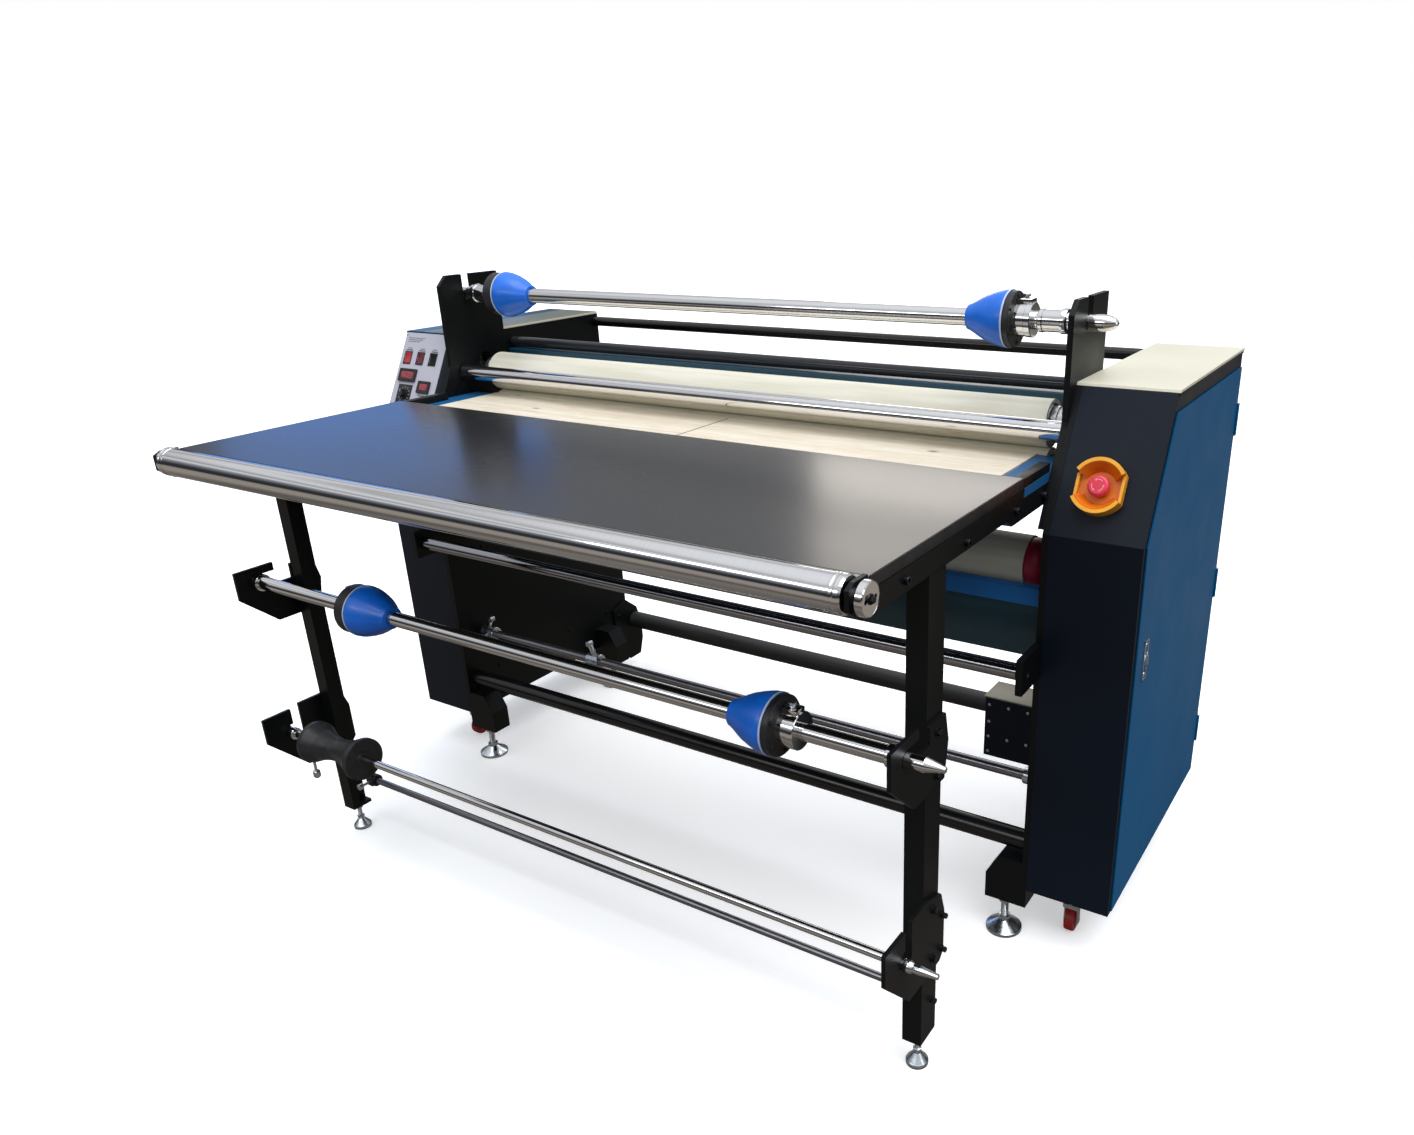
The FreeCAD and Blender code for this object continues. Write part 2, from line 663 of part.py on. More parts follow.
def caster_fork(x, y):
    plate = box(x - 30, x + 30, y - 30, y + 30, CAB_BOTTOM - 5, CAB_BOTTOM)
    neck = cyl_z(x, y, 74, CAB_BOTTOM - 4, 16.0)
    crown = box(x - 16, x + 16, y - 20, y + 20, 66, 76)
    cheeks = [box(x - 16, x - 13, y - 9, y + 9, 18, 67), box(x + 13, x + 16, y - 9, y + 9, 18, 67)]
    axle = cyl_x(x - 18, x + 18, (y, WHEEL_Z), 4.0)
    return fuse([plate, neck, crown, axle] + cheeks)


def caster_wheel(x, y):
    half = WHEEL_W / 2.0
    tread = cyl_x(x - half, x + half, (y, WHEEL_Z), WHEEL_R)
    return tread.cut(cyl_x(x - 20, x + 20, (y, WHEEL_Z), 4.5))


def caster_forks():
    forks = []
    for x in (-CASTER_X, CASTER_X):
        for y in CASTER_YS:
            forks.append(caster_fork(x, y))
    return forks


def save_cabinets():
    save("left_side_plate", mirrored(side_plate()))
    save("right_side_plate", side_plate())
    save("left_housing", left_housing())
    save("right_housing", right_housing())
    save("top_caps", both(top_cap()))
    save("left_door", mirrored(door()))
    save("right_door", door())
    save("left_door_latch", mirrored(door_latch()))
    save("right_door_latch", door_latch())


def save_rollers():
    save("upper_roller_core", press_core(UPPER_AXIS, 912))
    save("upper_roller_cover", sleeve(UPPER_AXIS, PRESS_R, PRESS_CORE_R, PRESS_HALF))
    wheel = sprocket(SPROCKET_X0, SPROCKET_X1, LOWER_AXIS, ROLLER_SPROCKET_R, JOURNAL_R, 22)
    save("lower_roller_core", [press_core(LOWER_AXIS, 952), wheel])
    save("lower_roller_cover", sleeve(LOWER_AXIS, PRESS_R, PRESS_CORE_R, PRESS_HALF))
    save("aux_roller", roller(AUX_AXIS, AUX_R, PRESS_HALF, JOURNAL_R, 904))
    save("chrome_guide_roller", roller(IDLER_AXIS, IDLER_R, 852, 8.0, 866))
    save("dark_guide_roller", roller(DARK_AXIS, DARK_R, 864, 7.0, 879))
    save("under_table_roller", roller(UNDER_AXIS, UNDER_R, 860, 8.0, 878))
    save("front_roller", front_roller())
    save("rear_takeup_tube", roller(REAR_AXIS, REAR_R, 858, 10.0, 867))


def save_drive():
    save("lift_blocks", both(lift_block()))
    save("lower_bearings", both(lower_bearing()))
    save("lift_cylinders", both(lift_cylinder()))
    save("drive_motor", drive_motor())
    save("motor_sprocket", motor_sprocket())
    save("drive_chain", drive_chain())
    save("electrical_boxes", [control_box(), estop_contacts(), drive_box()])


def save_controls():
    save("control_panel", control_panel())
    for name, x in ROCKERS.items():
        save(name, rocker(x))
    save("panel_displays", [display(*size) for size in DISPLAYS])
    save("panel_knob", panel_knob())
    save("estop_guard", estop_guard())
    save("estop_button", estop_button())


def save_frame():
    plates = both(post_plate()) + both(rear_bracket()) + both(under_bracket())
    save("shaft_brackets", plates + both(mid_bracket()) + both(liner_bracket()))
    bars = []
    for axis, radius in (((682.0, 1193.0), 14.0), ((31.0, 237.0), 23.0)):
        tube = cyl_x(-PLATE_IN, PLATE_IN, axis, radius)
        bars.append(tube.cut(cyl_x(-PLATE_IN, PLATE_IN, axis, radius - 4.0)))
    save("tie_bars", bars)
    rods = [cyl_x(-PLATE_IN, PLATE_IN, (72.0, 373.0), 12.0)]
    rods.append(cyl_x(-LEG_X1 + 4, LEG_X1 - 4, LOW_ROD_AXIS, LOW_ROD_R))
    save("steel_tie_rods", rods)
    save("rear_beam", rear_beam())
    save("front_apron", front_apron())
    save("infeed_tray", infeed_tray())
    save("infeed_boards", infeed_boards())
    save("table_top", table_top())
    save("table_frame", table_frame())


def save_unwinds():
    bore = SHAFT_R + CONE_CLEAR
    save("top_shaft", shaft(TOP_AXIS, SHAFT_R, NECK_R, -968, 918, 846))
    save("top_left_cone", cone(TOP_AXIS, -TOP_TIP_X, -1, bore))
    save("top_left_hub", hub(TOP_AXIS, -TOP_TIP_X, -1, bore))
    save("top_right_cone", cone(TOP_AXIS, TOP_TIP_X, 1, bore))
    save("top_right_hub", hub(TOP_AXIS, TOP_TIP_X, 1, bore))
    bore = MID_SHAFT_R + CONE_CLEAR
    save("mid_shaft", shaft(MID_AXIS, MID_SHAFT_R, NECK_R, -912, 932, 846))
    save("mid_left_cone", cone(MID_AXIS, -MID_LEFT_TIP_X, -1, bore))
    save("mid_left_hub", hub(MID_AXIS, -MID_LEFT_TIP_X, -1, bore))
    save("mid_right_cone", cone(MID_AXIS, MID_RIGHT_TIP_X, 1, bore))
    save("mid_right_hub", hub(MID_AXIS, MID_RIGHT_TIP_X, 1, bore))
    save("liner_shaft", shaft(LINER_AXIS, LINER_R, LINER_R, -902, 930, 846))
    save("core_spool", core_spool())


def save_floor_fittings():
    save("floor_fittings", levelling_feet() + caster_forks())
    corners = {"left": -CASTER_X, "right": CASTER_X}
    ends = {"front": CASTER_YS[0], "rear": CASTER_YS[1]}
    for side, x in corners.items():
        for end, y in ends.items():
            save(side + "_" + end + "_wheel", caster_wheel(x, y))


os.makedirs("parts", exist_ok=True)
save_cabinets()
save_rollers()
save_drive()
save_controls()
save_frame()
save_unwinds()
save_floor_fittings()
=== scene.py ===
from math import acos, atan2, copysign, cos, pi, radians, sin, sqrt

import bmesh
import bpy
from mathutils import Matrix, Vector


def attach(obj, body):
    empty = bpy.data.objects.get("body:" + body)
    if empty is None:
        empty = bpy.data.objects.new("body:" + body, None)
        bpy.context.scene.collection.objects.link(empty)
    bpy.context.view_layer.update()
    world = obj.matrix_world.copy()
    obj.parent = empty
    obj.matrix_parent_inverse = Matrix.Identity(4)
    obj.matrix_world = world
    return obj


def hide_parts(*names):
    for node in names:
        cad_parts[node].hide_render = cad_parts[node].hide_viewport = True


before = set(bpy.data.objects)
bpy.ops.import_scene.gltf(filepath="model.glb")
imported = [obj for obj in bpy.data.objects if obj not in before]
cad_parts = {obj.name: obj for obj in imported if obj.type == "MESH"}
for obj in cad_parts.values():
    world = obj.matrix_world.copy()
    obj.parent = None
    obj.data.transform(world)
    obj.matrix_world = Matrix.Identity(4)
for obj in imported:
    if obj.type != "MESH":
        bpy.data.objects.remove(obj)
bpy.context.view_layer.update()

# Pieces are drawn in millimetres, with Y from the cabinets' front face and Z from the floor.
# FRAME carries such a point into the shared frame, and FACET does so from the slanted facet's
# own axes: X, then up the slope, then out of it.
Y_SHIFT = -17.5
FACET_FOOT = (0.0, -6.0, 955.0)
FACET_RUN, FACET_RISE = 145.0, 265.0
FRAME = Matrix.Scale(0.001, 4) @ Matrix.Translation((0.0, Y_SHIFT, 0.0))
FACET_TURN = Matrix.Rotation(atan2(FACET_RISE, FACET_RUN), 4, "X")
FACET = FRAME @ Matrix.Translation(FACET_FOOT) @ FACET_TURN

SIGNS = (-1.0, 1.0)
SIDES = ((-1.0, "left"), (1.0, "right"))

# A point on each axis that runs across the machine.
UPPER_AXIS = (0.0, 221.0, 1117.0)
LOWER_AXIS = (0.0, 221.0, 1017.0)
AUX_AXIS = (0.0, 141.0, 842.0)
FRONT_AXIS = (0.0, -697.0, 1062.0)
TOP_AXIS = (0.0, 190.0, 1325.0)
MID_AXIS = (0.0, -562.0, 740.0)
LINER_AXIS = (0.0, -566.0, 337.0)
LOW_ROD_AXIS = (0.0, -447.0, 172.0)
CROSS_ROD_AXIS = (0.0, 72.0, 373.0)
MOTOR_AXIS = (0.0, 330.0, 620.0)


# -------------------- materials

def put(node, values):
    """Set the unlinked inputs of a node by name."""
    for socket, value in values.items():
        node.inputs[socket].default_value = value


def colour_ramp(nodes, links, factor, stops):
    node = nodes.new("ShaderNodeValToRGB")
    first, last = node.color_ramp.elements
    first.position, first.color = stops[0][0], (*stops[0][1], 1.0)
    last.position, last.color = stops[-1][0], (*stops[-1][1], 1.0)
    for place, colour in stops[1:-1]:
        node.color_ramp.elements.new(place).color = (*colour, 1.0)
    links.new(factor, node.inputs["Fac"])
    return node.outputs["Color"]


def colour_mix(nodes, links, factor, first, second, blend="MIX"):
    """Mix two colours, each a socket or plain values, by a socket or a number."""
    node = nodes.new("ShaderNodeMix")
    node.data_type = "RGBA"
    node.blend_type = blend
    for socket, value in (("Factor", factor), ("A", first), ("B", second)):
        if isinstance(value, float):
            node.inputs[socket].default_value = value
        elif isinstance(value, tuple):
            node.inputs[socket].default_value = (*value, 1.0)
        else:
            links.new(value, node.inputs[socket])
    return node.outputs["Result"]


class Finish:
    """A procedural material: noises in object space drive colour, roughness and relief."""

    def __init__(self, name, metallic=0.0, specular=0.5, coat=0.0, coat_rough=0.08):
        self.mat = bpy.data.materials.new(name)
        self.mat.use_nodes = True
        self.nodes = self.mat.node_tree.nodes
        self.links = self.mat.node_tree.links
        self.shader = self.nodes["Principled BSDF"]
        put(self.shader, {"Metallic": metallic, "Specular IOR Level": specular})
        put(self.shader, {"Coat Weight": coat, "Coat Roughness": coat_rough})
        self.coords = self.nodes.new("ShaderNodeTexCoord").outputs["Object"]

    def stretched(self, stretch):
        mapping = self.nodes.new("ShaderNodeMapping")
        put(mapping, {"Scale": stretch})
        self.links.new(self.coords, mapping.inputs["Vector"])
        return mapping.outputs["Vector"]

    def noise(self, scale, detail=3.0, stretch=(1.0, 1.0, 1.0), distortion=0.0):
        tex = self.nodes.new("ShaderNodeTexNoise")
        put(tex, {"Scale": scale, "Detail": detail, "Distortion": distortion})
        self.links.new(self.stretched(stretch), tex.inputs["Vector"])
        return tex.outputs["Fac"]

    def cells(self, scale, stretch=(1.0, 1.0, 1.0)):
        tex = self.nodes.new("ShaderNodeTexVoronoi")
        put(tex, {"Scale": scale})
        self.links.new(self.stretched(stretch), tex.inputs["Vector"])
        return tex.outputs["Distance"]

    def ramp(self, factor, stops):
        return colour_ramp(self.nodes, self.links, factor, stops)

    def span(self, factor, low, high, start=0.3, end=0.7):
        node = self.nodes.new("ShaderNodeMapRange")
        put(node, {"From Min": start, "From Max": end, "To Min": low, "To Max": high})
        self.links.new(factor, node.inputs["Value"])
        return node.outputs["Result"]

    def mix(self, factor, first, second, blend="MIX"):
        return colour_mix(self.nodes, self.links, factor, first, second, blend)

    def axis(self, letter):
        node = self.nodes.new("ShaderNodeSeparateXYZ")
        self.links.new(self.coords, node.inputs["Vector"])
        return node.outputs[letter]

    def colour(self, socket):
        self.links.new(socket, self.shader.inputs["Base Color"])

    def rough(self, socket):
        self.links.new(socket, self.shader.inputs["Roughness"])

    def bump(self, height, strength, distance):
        node = self.nodes.new("ShaderNodeBump")
        put(node, {"Strength": strength, "Distance": distance})
        self.links.new(height, node.inputs["Height"])
        self.links.new(node.outputs["Normal"], self.shader.inputs["Normal"])


def enamel(name, dark, light, rough=(0.32, 0.46), relief=0.12, coat=0.0, specular=0.5):
    """Painted or powder-coated sheet: slow shade drift, fine orange peel, faint smudges."""
    finish = Finish(name, specular=specular, coat=coat, coat_rough=0.12)
    drift = finish.noise(1.6, 2.0)
    finish.colour(finish.ramp(drift, [(0.25, dark), (0.75, light)]))
    finish.rough(finish.span(finish.noise(6.0, 3.0), *rough))
    finish.bump(finish.noise(900.0, 2.0), relief, 0.0004)
    return finish.mat


def turned_metal(name, colour, rough, streak=(700.0, 6.0, 6.0), metallic=1.0, relief=0.05, drift=0.82):
    """Ground or plated bar: fine rings around the X axis and a slow change in shine."""
    finish = Finish(name, metallic=metallic)
    rings = finish.noise(1.0, 3.0, stretch=streak)
    dull = tuple(part * drift for part in colour)
    finish.colour(finish.ramp(rings, [(0.25, dull), (0.6, colour)]))
    finish.rough(finish.span(finish.noise(5.0, 5.0, stretch=(1.0, 6.0, 6.0)), *rough))
    finish.bump(rings, relief, 0.0002)
    return finish.mat


def zinc_plate(name, colour, rough):
    """Plated steel: small crystal patches, cooler in the dark ones."""
    finish = Finish(name, metallic=1.0)
    patches = finish.cells(160.0)
    cool = tuple(part * factor for part, factor in zip(colour, (0.78, 0.84, 0.92)))
    finish.colour(finish.ramp(patches, [(0.1, cool), (0.7, colour)]))
    finish.rough(finish.span(finish.noise(60.0, 4.0), *rough))
    finish.bump(finish.noise(420.0, 3.0), 0.1, 0.0002)
    return finish.mat


def moulded(name, dark, light, rough=(0.28, 0.42), coat=0.0, specular=0.5):
    """Moulded plastic: even colour with slight flow marks and a fine spark texture."""
    finish = Finish(name, specular=specular, coat=coat, coat_rough=0.15)
    flow = finish.noise(9.0, 5.0, stretch=(1.0, 2.2, 2.2), distortion=1.2)
    finish.colour(finish.ramp(flow, [(0.3, dark), (0.7, light)]))
    finish.rough(finish.span(finish.noise(45.0, 5.0), *rough))
    finish.bump(finish.noise(1400.0, 2.0), 0.10, 0.0003)
    return finish.mat


def rubber_sleeve(name, dark, light, rough=(0.45, 0.6)):
    """Ground rubber: fine grinding rings and a few light scuffs along the roller."""
    finish = Finish(name, specular=0.35)
    rings = finish.noise(1.0, 3.0, stretch=(420.0, 9.0, 9.0))
    scuffs = finish.noise(1.0, 5.0, stretch=(4.0, 60.0, 60.0))
    finish.colour(finish.ramp(scuffs, [(0.3, dark), (0.6, light)]))
    finish.rough(finish.span(scuffs, *rough))
    finish.bump(rings, 0.10, 0.0003)
    return finish.mat


def plywood(name):
    """Sealed pale ply: long grain, growth bands and small brown knots."""
    finish = Finish(name, specular=0.4, coat=0.15, coat_rough=0.25)
    bands = finish.noise(1.0, 6.0, stretch=(2.2, 26.0, 26.0), distortion=1.4)
    fibre = finish.noise(1.0, 4.0, stretch=(26.0, 620.0, 620.0))
    tones = [(0.2, (0.68, 0.59, 0.46)), (0.5, (0.82, 0.75, 0.63)), (0.8, (0.90, 0.86, 0.77))]
    wood = finish.ramp(bands, tones)
    fine = finish.ramp(fibre, [(0.35, (0.82, 0.78, 0.72)), (0.65, (1.0, 1.0, 1.0))])
    grained = finish.mix(1.0, wood, fine, "MULTIPLY")
    spots = finish.cells(5.0, stretch=(1.0, 1.9, 1.9))
    knot = finish.span(spots, 1.0, 0.0, start=0.035, end=0.09)
    finish.colour(finish.mix(knot, grained, (0.24, 0.12, 0.05)))
    finish.rough(finish.span(fibre, 0.42, 0.58))
    finish.bump(fibre, 0.15, 0.0004)
    return finish.mat


def laminate_top(name):
    """Glossy black laminate: soft smears that break up the reflection."""
    finish = Finish(name, specular=0.5, coat=0.2, coat_rough=0.18)
    smear = finish.noise(1.4, 2.0, stretch=(1.0, 2.0, 1.0))
    finish.colour(finish.ramp(smear, [(0.3, (0.010, 0.010, 0.011)), (0.7, (0.014, 0.014, 0.015))]))
    finish.rough(finish.span(smear, 0.24, 0.30))
    finish.bump(finish.noise(180.0, 2.0), 0.006, 0.0002)
    return finish.mat


def apron_enamel(name):
    """Teal enamel with a lighter blue band along its upper edge: the band is painted light where the top
    flange faces up.
    """
    finish = Finish(name, coat=0.2, coat_rough=0.2)
    drift = finish.noise(3.0, 4.0)
    low = finish.ramp(drift, [(0.3, (0.003, 0.040, 0.062)), (0.7, (0.005, 0.060, 0.088))])
    # Above this height the colour turns light blue: painted light on the upward-facing flange.
    edge = 0.776
    band = finish.span(finish.axis("Z"), 0.0, 1.0, start=edge - 0.001, end=edge + 0.001)
    finish.colour(finish.mix(band, low, (0.010, 0.20, 0.60)))
    finish.rough(finish.span(finish.noise(14.0, 6.0), 0.30, 0.45))
    finish.bump(finish.noise(900.0, 2.0), 0.12, 0.0004)
    return finish.mat


def window_glass(name, colour):
    """Tinted display window: faintly uneven colour under a clear coat."""
    finish = Finish(name, specular=0.6, coat=0.6, coat_rough=0.04)
    dots = finish.noise(60.0, 2.0)
    lit = tuple(part * 1.3 for part in colour)
    finish.colour(finish.ramp(dots, [(0.3, colour), (0.7, lit)]))
    finish.rough(finish.span(finish.noise(220.0, 3.0), 0.08, 0.16))
    finish.bump(finish.noise(300.0, 2.0), 0.03, 0.0002)
    return finish.mat


# The blue cast in both black_powder colours is painted sky reflection, meant for the slanted facet.
BLACK = enamel(
    "black_powder", (0.0020, 0.0054, 0.0128), (0.0034, 0.0084, 0.0200),
    rough=(0.38, 0.48), specular=0.24,
)
FRAME_BLACK = enamel(
    "black_frame_paint", (0.0022, 0.0030, 0.0034), (0.0040, 0.0052, 0.0058),
    rough=(0.34, 0.46), specular=0.22,
)
BAR_BLACK = enamel(
    "black_bar_paint", (0.0030, 0.0030, 0.0036), (0.0056, 0.0056, 0.0064),
    rough=(0.20, 0.30), coat=0.12,
)
DOOR_BLUE = enamel(
    "door_blue", (0.001, 0.088, 0.222), (0.002, 0.104, 0.256),
    rough=(0.38, 0.46), specular=0.08,
)
TRAY_BLUE = enamel("tray_blue", (0.006, 0.090, 0.250), (0.012, 0.140, 0.340), rough=(0.28, 0.42), coat=0.2)
BEAM_BLUE = enamel("beam_blue", (0.006, 0.045, 0.085), (0.010, 0.070, 0.120), rough=(0.30, 0.42), coat=0.2)
CREAM = enamel("cream_enamel", (0.66, 0.63, 0.50), (0.74, 0.71, 0.59), rough=(0.38, 0.52), relief=0.18)
# Beige darkened below the lid's own colour: real beige paint with painted shade.
SHADED_BEIGE = enamel("beige_painted_shade", (0.30, 0.27, 0.20), (0.38, 0.35, 0.27), rough=(0.38, 0.52))
OVERLAY = enamel("panel_overlay", (0.42, 0.42, 0.50), (0.54, 0.53, 0.60), rough=(0.28, 0.40), relief=0.05)
MOTOR = enamel("motor_enamel", (0.09, 0.11, 0.13), (0.13, 0.15, 0.18), rough=(0.35, 0.50), relief=0.25)
APRON = apron_enamel("apron_enamel")
TABLE = laminate_top("table_laminate")
CHROME = turned_metal("chrome_plate", (0.80, 0.80, 0.81), (0.06, 0.11), relief=0.006, drift=0.95)
SHADED_CHROME = turned_metal("shaded_chrome", (0.42, 0.42, 0.45), (0.08, 0.14), relief=0.006, drift=0.94)
# Olive grey laid over the left cabinet's cream cap: painted shade on that cap.
LEFT_CAP_SHADE = enamel(
    "left_cap_painted_shade", (0.115, 0.125, 0.100), (0.190, 0.200, 0.165),
    rough=(0.34, 0.46), specular=0.3,
)
STEEL = turned_metal("ground_steel", (0.60, 0.60, 0.61), (0.20, 0.34), relief=0.10)
ROD_STEEL = turned_metal("dull_bar_steel", (0.30, 0.30, 0.33), (0.22, 0.34), relief=0.08)
DARK_SLEEVE = turned_metal("dark_gloss_sleeve", (0.026, 0.028, 0.034), (0.12, 0.22), metallic=0.3)
ZINC = zinc_plate("zinc_plate", (0.66, 0.70, 0.74), (0.16, 0.34))
BLACK_STEEL = zinc_plate("black_oxide", (0.045, 0.045, 0.050), (0.30, 0.45))
SILICONE = rubber_sleeve("cream_silicone", (0.70, 0.66, 0.52), (0.80, 0.77, 0.65))
BLACK_SLEEVE = rubber_sleeve("black_sleeve", (0.012, 0.012, 0.012), (0.025, 0.025, 0.025))
CONE_BLUE = moulded(
    "cone_nylon", (0.004, 0.130, 0.640), (0.008, 0.175, 0.820),
    rough=(0.30, 0.42), coat=0.15,
)
CONE_RING = moulded("cone_ring_grey", (0.55, 0.57, 0.60), (0.68, 0.70, 0.72))
BLACK_PLASTIC = moulded("black_plastic", (0.010, 0.010, 0.011), (0.020, 0.020, 0.022), rough=(0.36, 0.52))
ROCKER_BLACK = moulded("rocker_black", (0.003, 0.003, 0.003), (0.006, 0.006, 0.006), specular=0.2)
RED_PLASTIC = moulded("red_plastic", (0.36, 0.008, 0.014), (0.48, 0.014, 0.020), coat=0.2)
MAROON = moulded("maroon_plastic", (0.090, 0.004, 0.016), (0.150, 0.006, 0.024), coat=0.2)
STOP_RED = moulded("stop_red", (0.68, 0.024, 0.055), (0.78, 0.040, 0.080), coat=0.2)
STOP_MARK = moulded("stop_mark", (0.82, 0.30, 0.36), (0.88, 0.38, 0.44))
AMBER = moulded("amber_plastic", (0.86, 0.34, 0.010), (0.96, 0.45, 0.030), rough=(0.26, 0.38), coat=0.2)
# The guard's amber, darker for the bowl and collar inside its walls: painted shade.
AMBER_SHADE = moulded("amber_painted_shade", (0.66, 0.13, 0.003), (0.78, 0.20, 0.006), rough=(0.30, 0.42), coat=0.1)
HUB_RED = moulded("hub_red", (0.36, 0.008, 0.040), (0.48, 0.014, 0.060), rough=(0.34, 0.46))
WHEEL_RED = moulded("wheel_red", (0.26, 0.006, 0.008), (0.42, 0.012, 0.012), rough=(0.36, 0.55))
INK = moulded("panel_ink", (0.055, 0.060, 0.085), (0.080, 0.085, 0.110), rough=(0.40, 0.50))
GLASS_RED = window_glass("display_red", (0.150, 0.006, 0.012))
SEGMENT = window_glass("display_segment", (0.52, 0.05, 0.07))
PLY = plywood("pale_plywood")

NODE_FINISH = (
    (BLACK, "left_housing right_housing electrical_boxes"),
    (FRAME_BLACK, "left_side_plate right_side_plate shaft_brackets table_frame"),
    (BAR_BLACK, "tie_bars"),
    (CREAM, "top_caps"),
    (DOOR_BLUE, "left_door right_door"),
    (BEAM_BLUE, "rear_beam"),
    (TRAY_BLUE, "infeed_tray"),
    (APRON, "front_apron"),
    (PLY, "infeed_boards"),
    (TABLE, "table_top"),
    (OVERLAY, "control_panel"),
    (MOTOR, "lower_bearings lift_cylinders drive_motor"),
    (ZINC, "left_door_latch right_door_latch floor_fittings"),
    (STEEL, "upper_roller_core lower_roller_core lift_blocks motor_sprocket"),
    (ROD_STEEL, "steel_tie_rods"),
    (BLACK_STEEL, "drive_chain"),
    (CHROME, "chrome_guide_roller front_roller top_shaft mid_shaft liner_shaft"),
    (CHROME, "top_right_hub mid_right_hub"),
    (SHADED_CHROME, "under_table_roller"),
    (DARK_SLEEVE, "dark_guide_roller"),
    (BLACK_SLEEVE, "rear_takeup_tube"),
    (SILICONE, "upper_roller_cover lower_roller_cover aux_roller"),
    (CONE_BLUE, "top_left_cone top_right_cone mid_left_cone mid_right_cone"),
    (BLACK_PLASTIC, "panel_displays panel_knob top_left_hub mid_left_hub core_spool"),
    (RED_PLASTIC, "rocker_red"),
    (MAROON, "rocker_maroon"),
    (ROCKER_BLACK, "rocker_black"),
    (AMBER, "estop_guard"),
    (STOP_RED, "estop_button"),
    (WHEEL_RED, "left_front_wheel left_rear_wheel right_front_wheel right_rear_wheel"),
)

# Width of the eased edges on folded, cut and moulded parts.
SOFT_EDGES = (
    (1.6, "left_housing right_housing"),
    (1.5, "rear_beam drive_motor"),
    (1.2, "top_caps table_top table_frame"),
    (1.0, "left_side_plate right_side_plate shaft_brackets"),
    (0.8, "left_door right_door electrical_boxes panel_displays"),
    (0.6, "infeed_tray rocker_red rocker_maroon rocker_black"),
    (0.5, "infeed_boards front_apron"),
    (0.4, "control_panel"),
)


def by_node(rows):
    return {node: value for value, nodes in rows for node in nodes.split()}


def dress_nodes():
    finishes, edges = by_node(NODE_FINISH), by_node(SOFT_EDGES)
    for name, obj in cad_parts.items():
        for slot in obj.material_slots:
            slot.material = finishes[name]
        if name in edges:
            weld = obj.modifiers.new("join", "WELD")
            weld.merge_threshold = 0.00002
            bevel = obj.modifiers.new("edges", "BEVEL")
            bevel.width = edges[name] / 1000.0
            bevel.segments = 2
            bevel.limit_method = "ANGLE"
            bevel.angle_limit = radians(38.0)
            bevel.harden_normals = True
            bevel.use_clamp_overlap = True


# -------------------- mesh helpers

def turn_to(origin, axis):
    """Matrix that puts a +Z drawing at a point, along an axis."""
    return Matrix.Translation(origin) @ Vector(axis).to_track_quat("Z", "Y").to_matrix().to_4x4()


def lathe(bm, origin, axis, profile, segments=40, place=FRAME, closed=False):
    """Turn (along, radius) pairs about an axis through origin."""
    carry = place @ turn_to(origin, axis)
    rings = []
    for along, radius in profile:
        if radius <= 0.0:
            rings.append([bm.verts.new(carry @ Vector((0.0, 0.0, along)))])
            continue
        ring = []
        for step in range(segments):
            angle = 2.0 * pi * step / segments
            point = Vector((radius * cos(angle), radius * sin(angle), along))
            ring.append(bm.verts.new(carry @ point))
        rings.append(ring)
    pairs = list(zip(rings, rings[1:]))
    if closed:
        pairs.append((rings[-1], rings[0]))
    for low, high in pairs:
        for step in range(segments):
            after = (step + 1) % segments
            corners = [low[step % len(low)], low[after % len(low)]]
            corners += [high[after % len(high)], high[step % len(high)]]
            unique = list(dict.fromkeys(corners))
            if len(unique) > 2:
                bm.faces.new(unique)


def collar(bm, origin, axis, ends, bore, radius, ease, segments=40):
    """Ring on a shaft between two ends, its outer corners eased by (along, in)."""
    (start, end), (along, drop) = ends, ease
    profile = [
        (start, bore), (start, radius - drop), (start + along, radius),
        (end - along, radius), (end, radius - drop), (end, bore),
    ]
    lathe(bm, origin, axis, profile, segments, closed=True)


def block(bm, one, other, bevel=0.6, place=FRAME, turn=None):
    """Box between two opposite corners, with rounded edges."""
    low = Vector([min(pair) for pair in zip(one, other)])
    high = Vector([max(pair) for pair in zip(one, other)])
    local = Matrix.Diagonal((*(high - low), 1.0))
    made = bmesh.ops.create_cube(bm, size=1.0, matrix=local)["verts"]
    if bevel > 0.0:
        edges = list({edge for vert in made for edge in vert.link_edges})
        result = bmesh.ops.bevel(bm, geom=edges, offset=bevel, segments=2, affect="EDGES", profile=0.6)
        made = {vert for face in result["faces"] for vert in face.verts} | {v for v in made if v.is_valid}
    carry = place @ Matrix.Translation((low + high) / 2.0) @ (turn or Matrix.Identity(4))
    bmesh.ops.transform(bm, matrix=carry, verts=list(made))


def bar(bm, centre, half, bevel, place=FRAME, turn=None):
    """Box about a centre, from its half sizes, turned about that centre."""
    block(bm, Vector(centre) - Vector(half), Vector(centre) + Vector(half), bevel, place, turn)


def border(u0, u1, v0, v1, wide, tall):
    """Four bars inside the edges of a rectangle, each as (u low, u high, v low, v high)."""
    uprights = ((u0, u0 + wide, v0, v1), (u1 - wide, u1, v0, v1))
    return uprights + ((u0, u1, v0, v0 + tall), (u0, u1, v1 - tall, v1))


def arc_bar(bm, centre, section, start, end, place, steps=14):
    """Section of (radius, height) pairs carried round a centre, angles in degrees."""
    rows = []
    for step in range(steps + 1):
        angle = radians(start + (end - start) * step / steps)
        ray = Vector((cos(angle), sin(angle), 0.0))
        row = []
        for radius, height in section:
            row.append(bm.verts.new(place @ (Vector(centre) + ray * radius + Vector((0, 0, height)))))
        rows.append(row)
    for low, high in zip(rows, rows[1:]):
        for k in range(len(section)):
            after = (k + 1) % len(section)
            bm.faces.new([low[k], low[after], high[after], high[k]])
    bm.faces.new(rows[0])
    bm.faces.new(rows[-1])


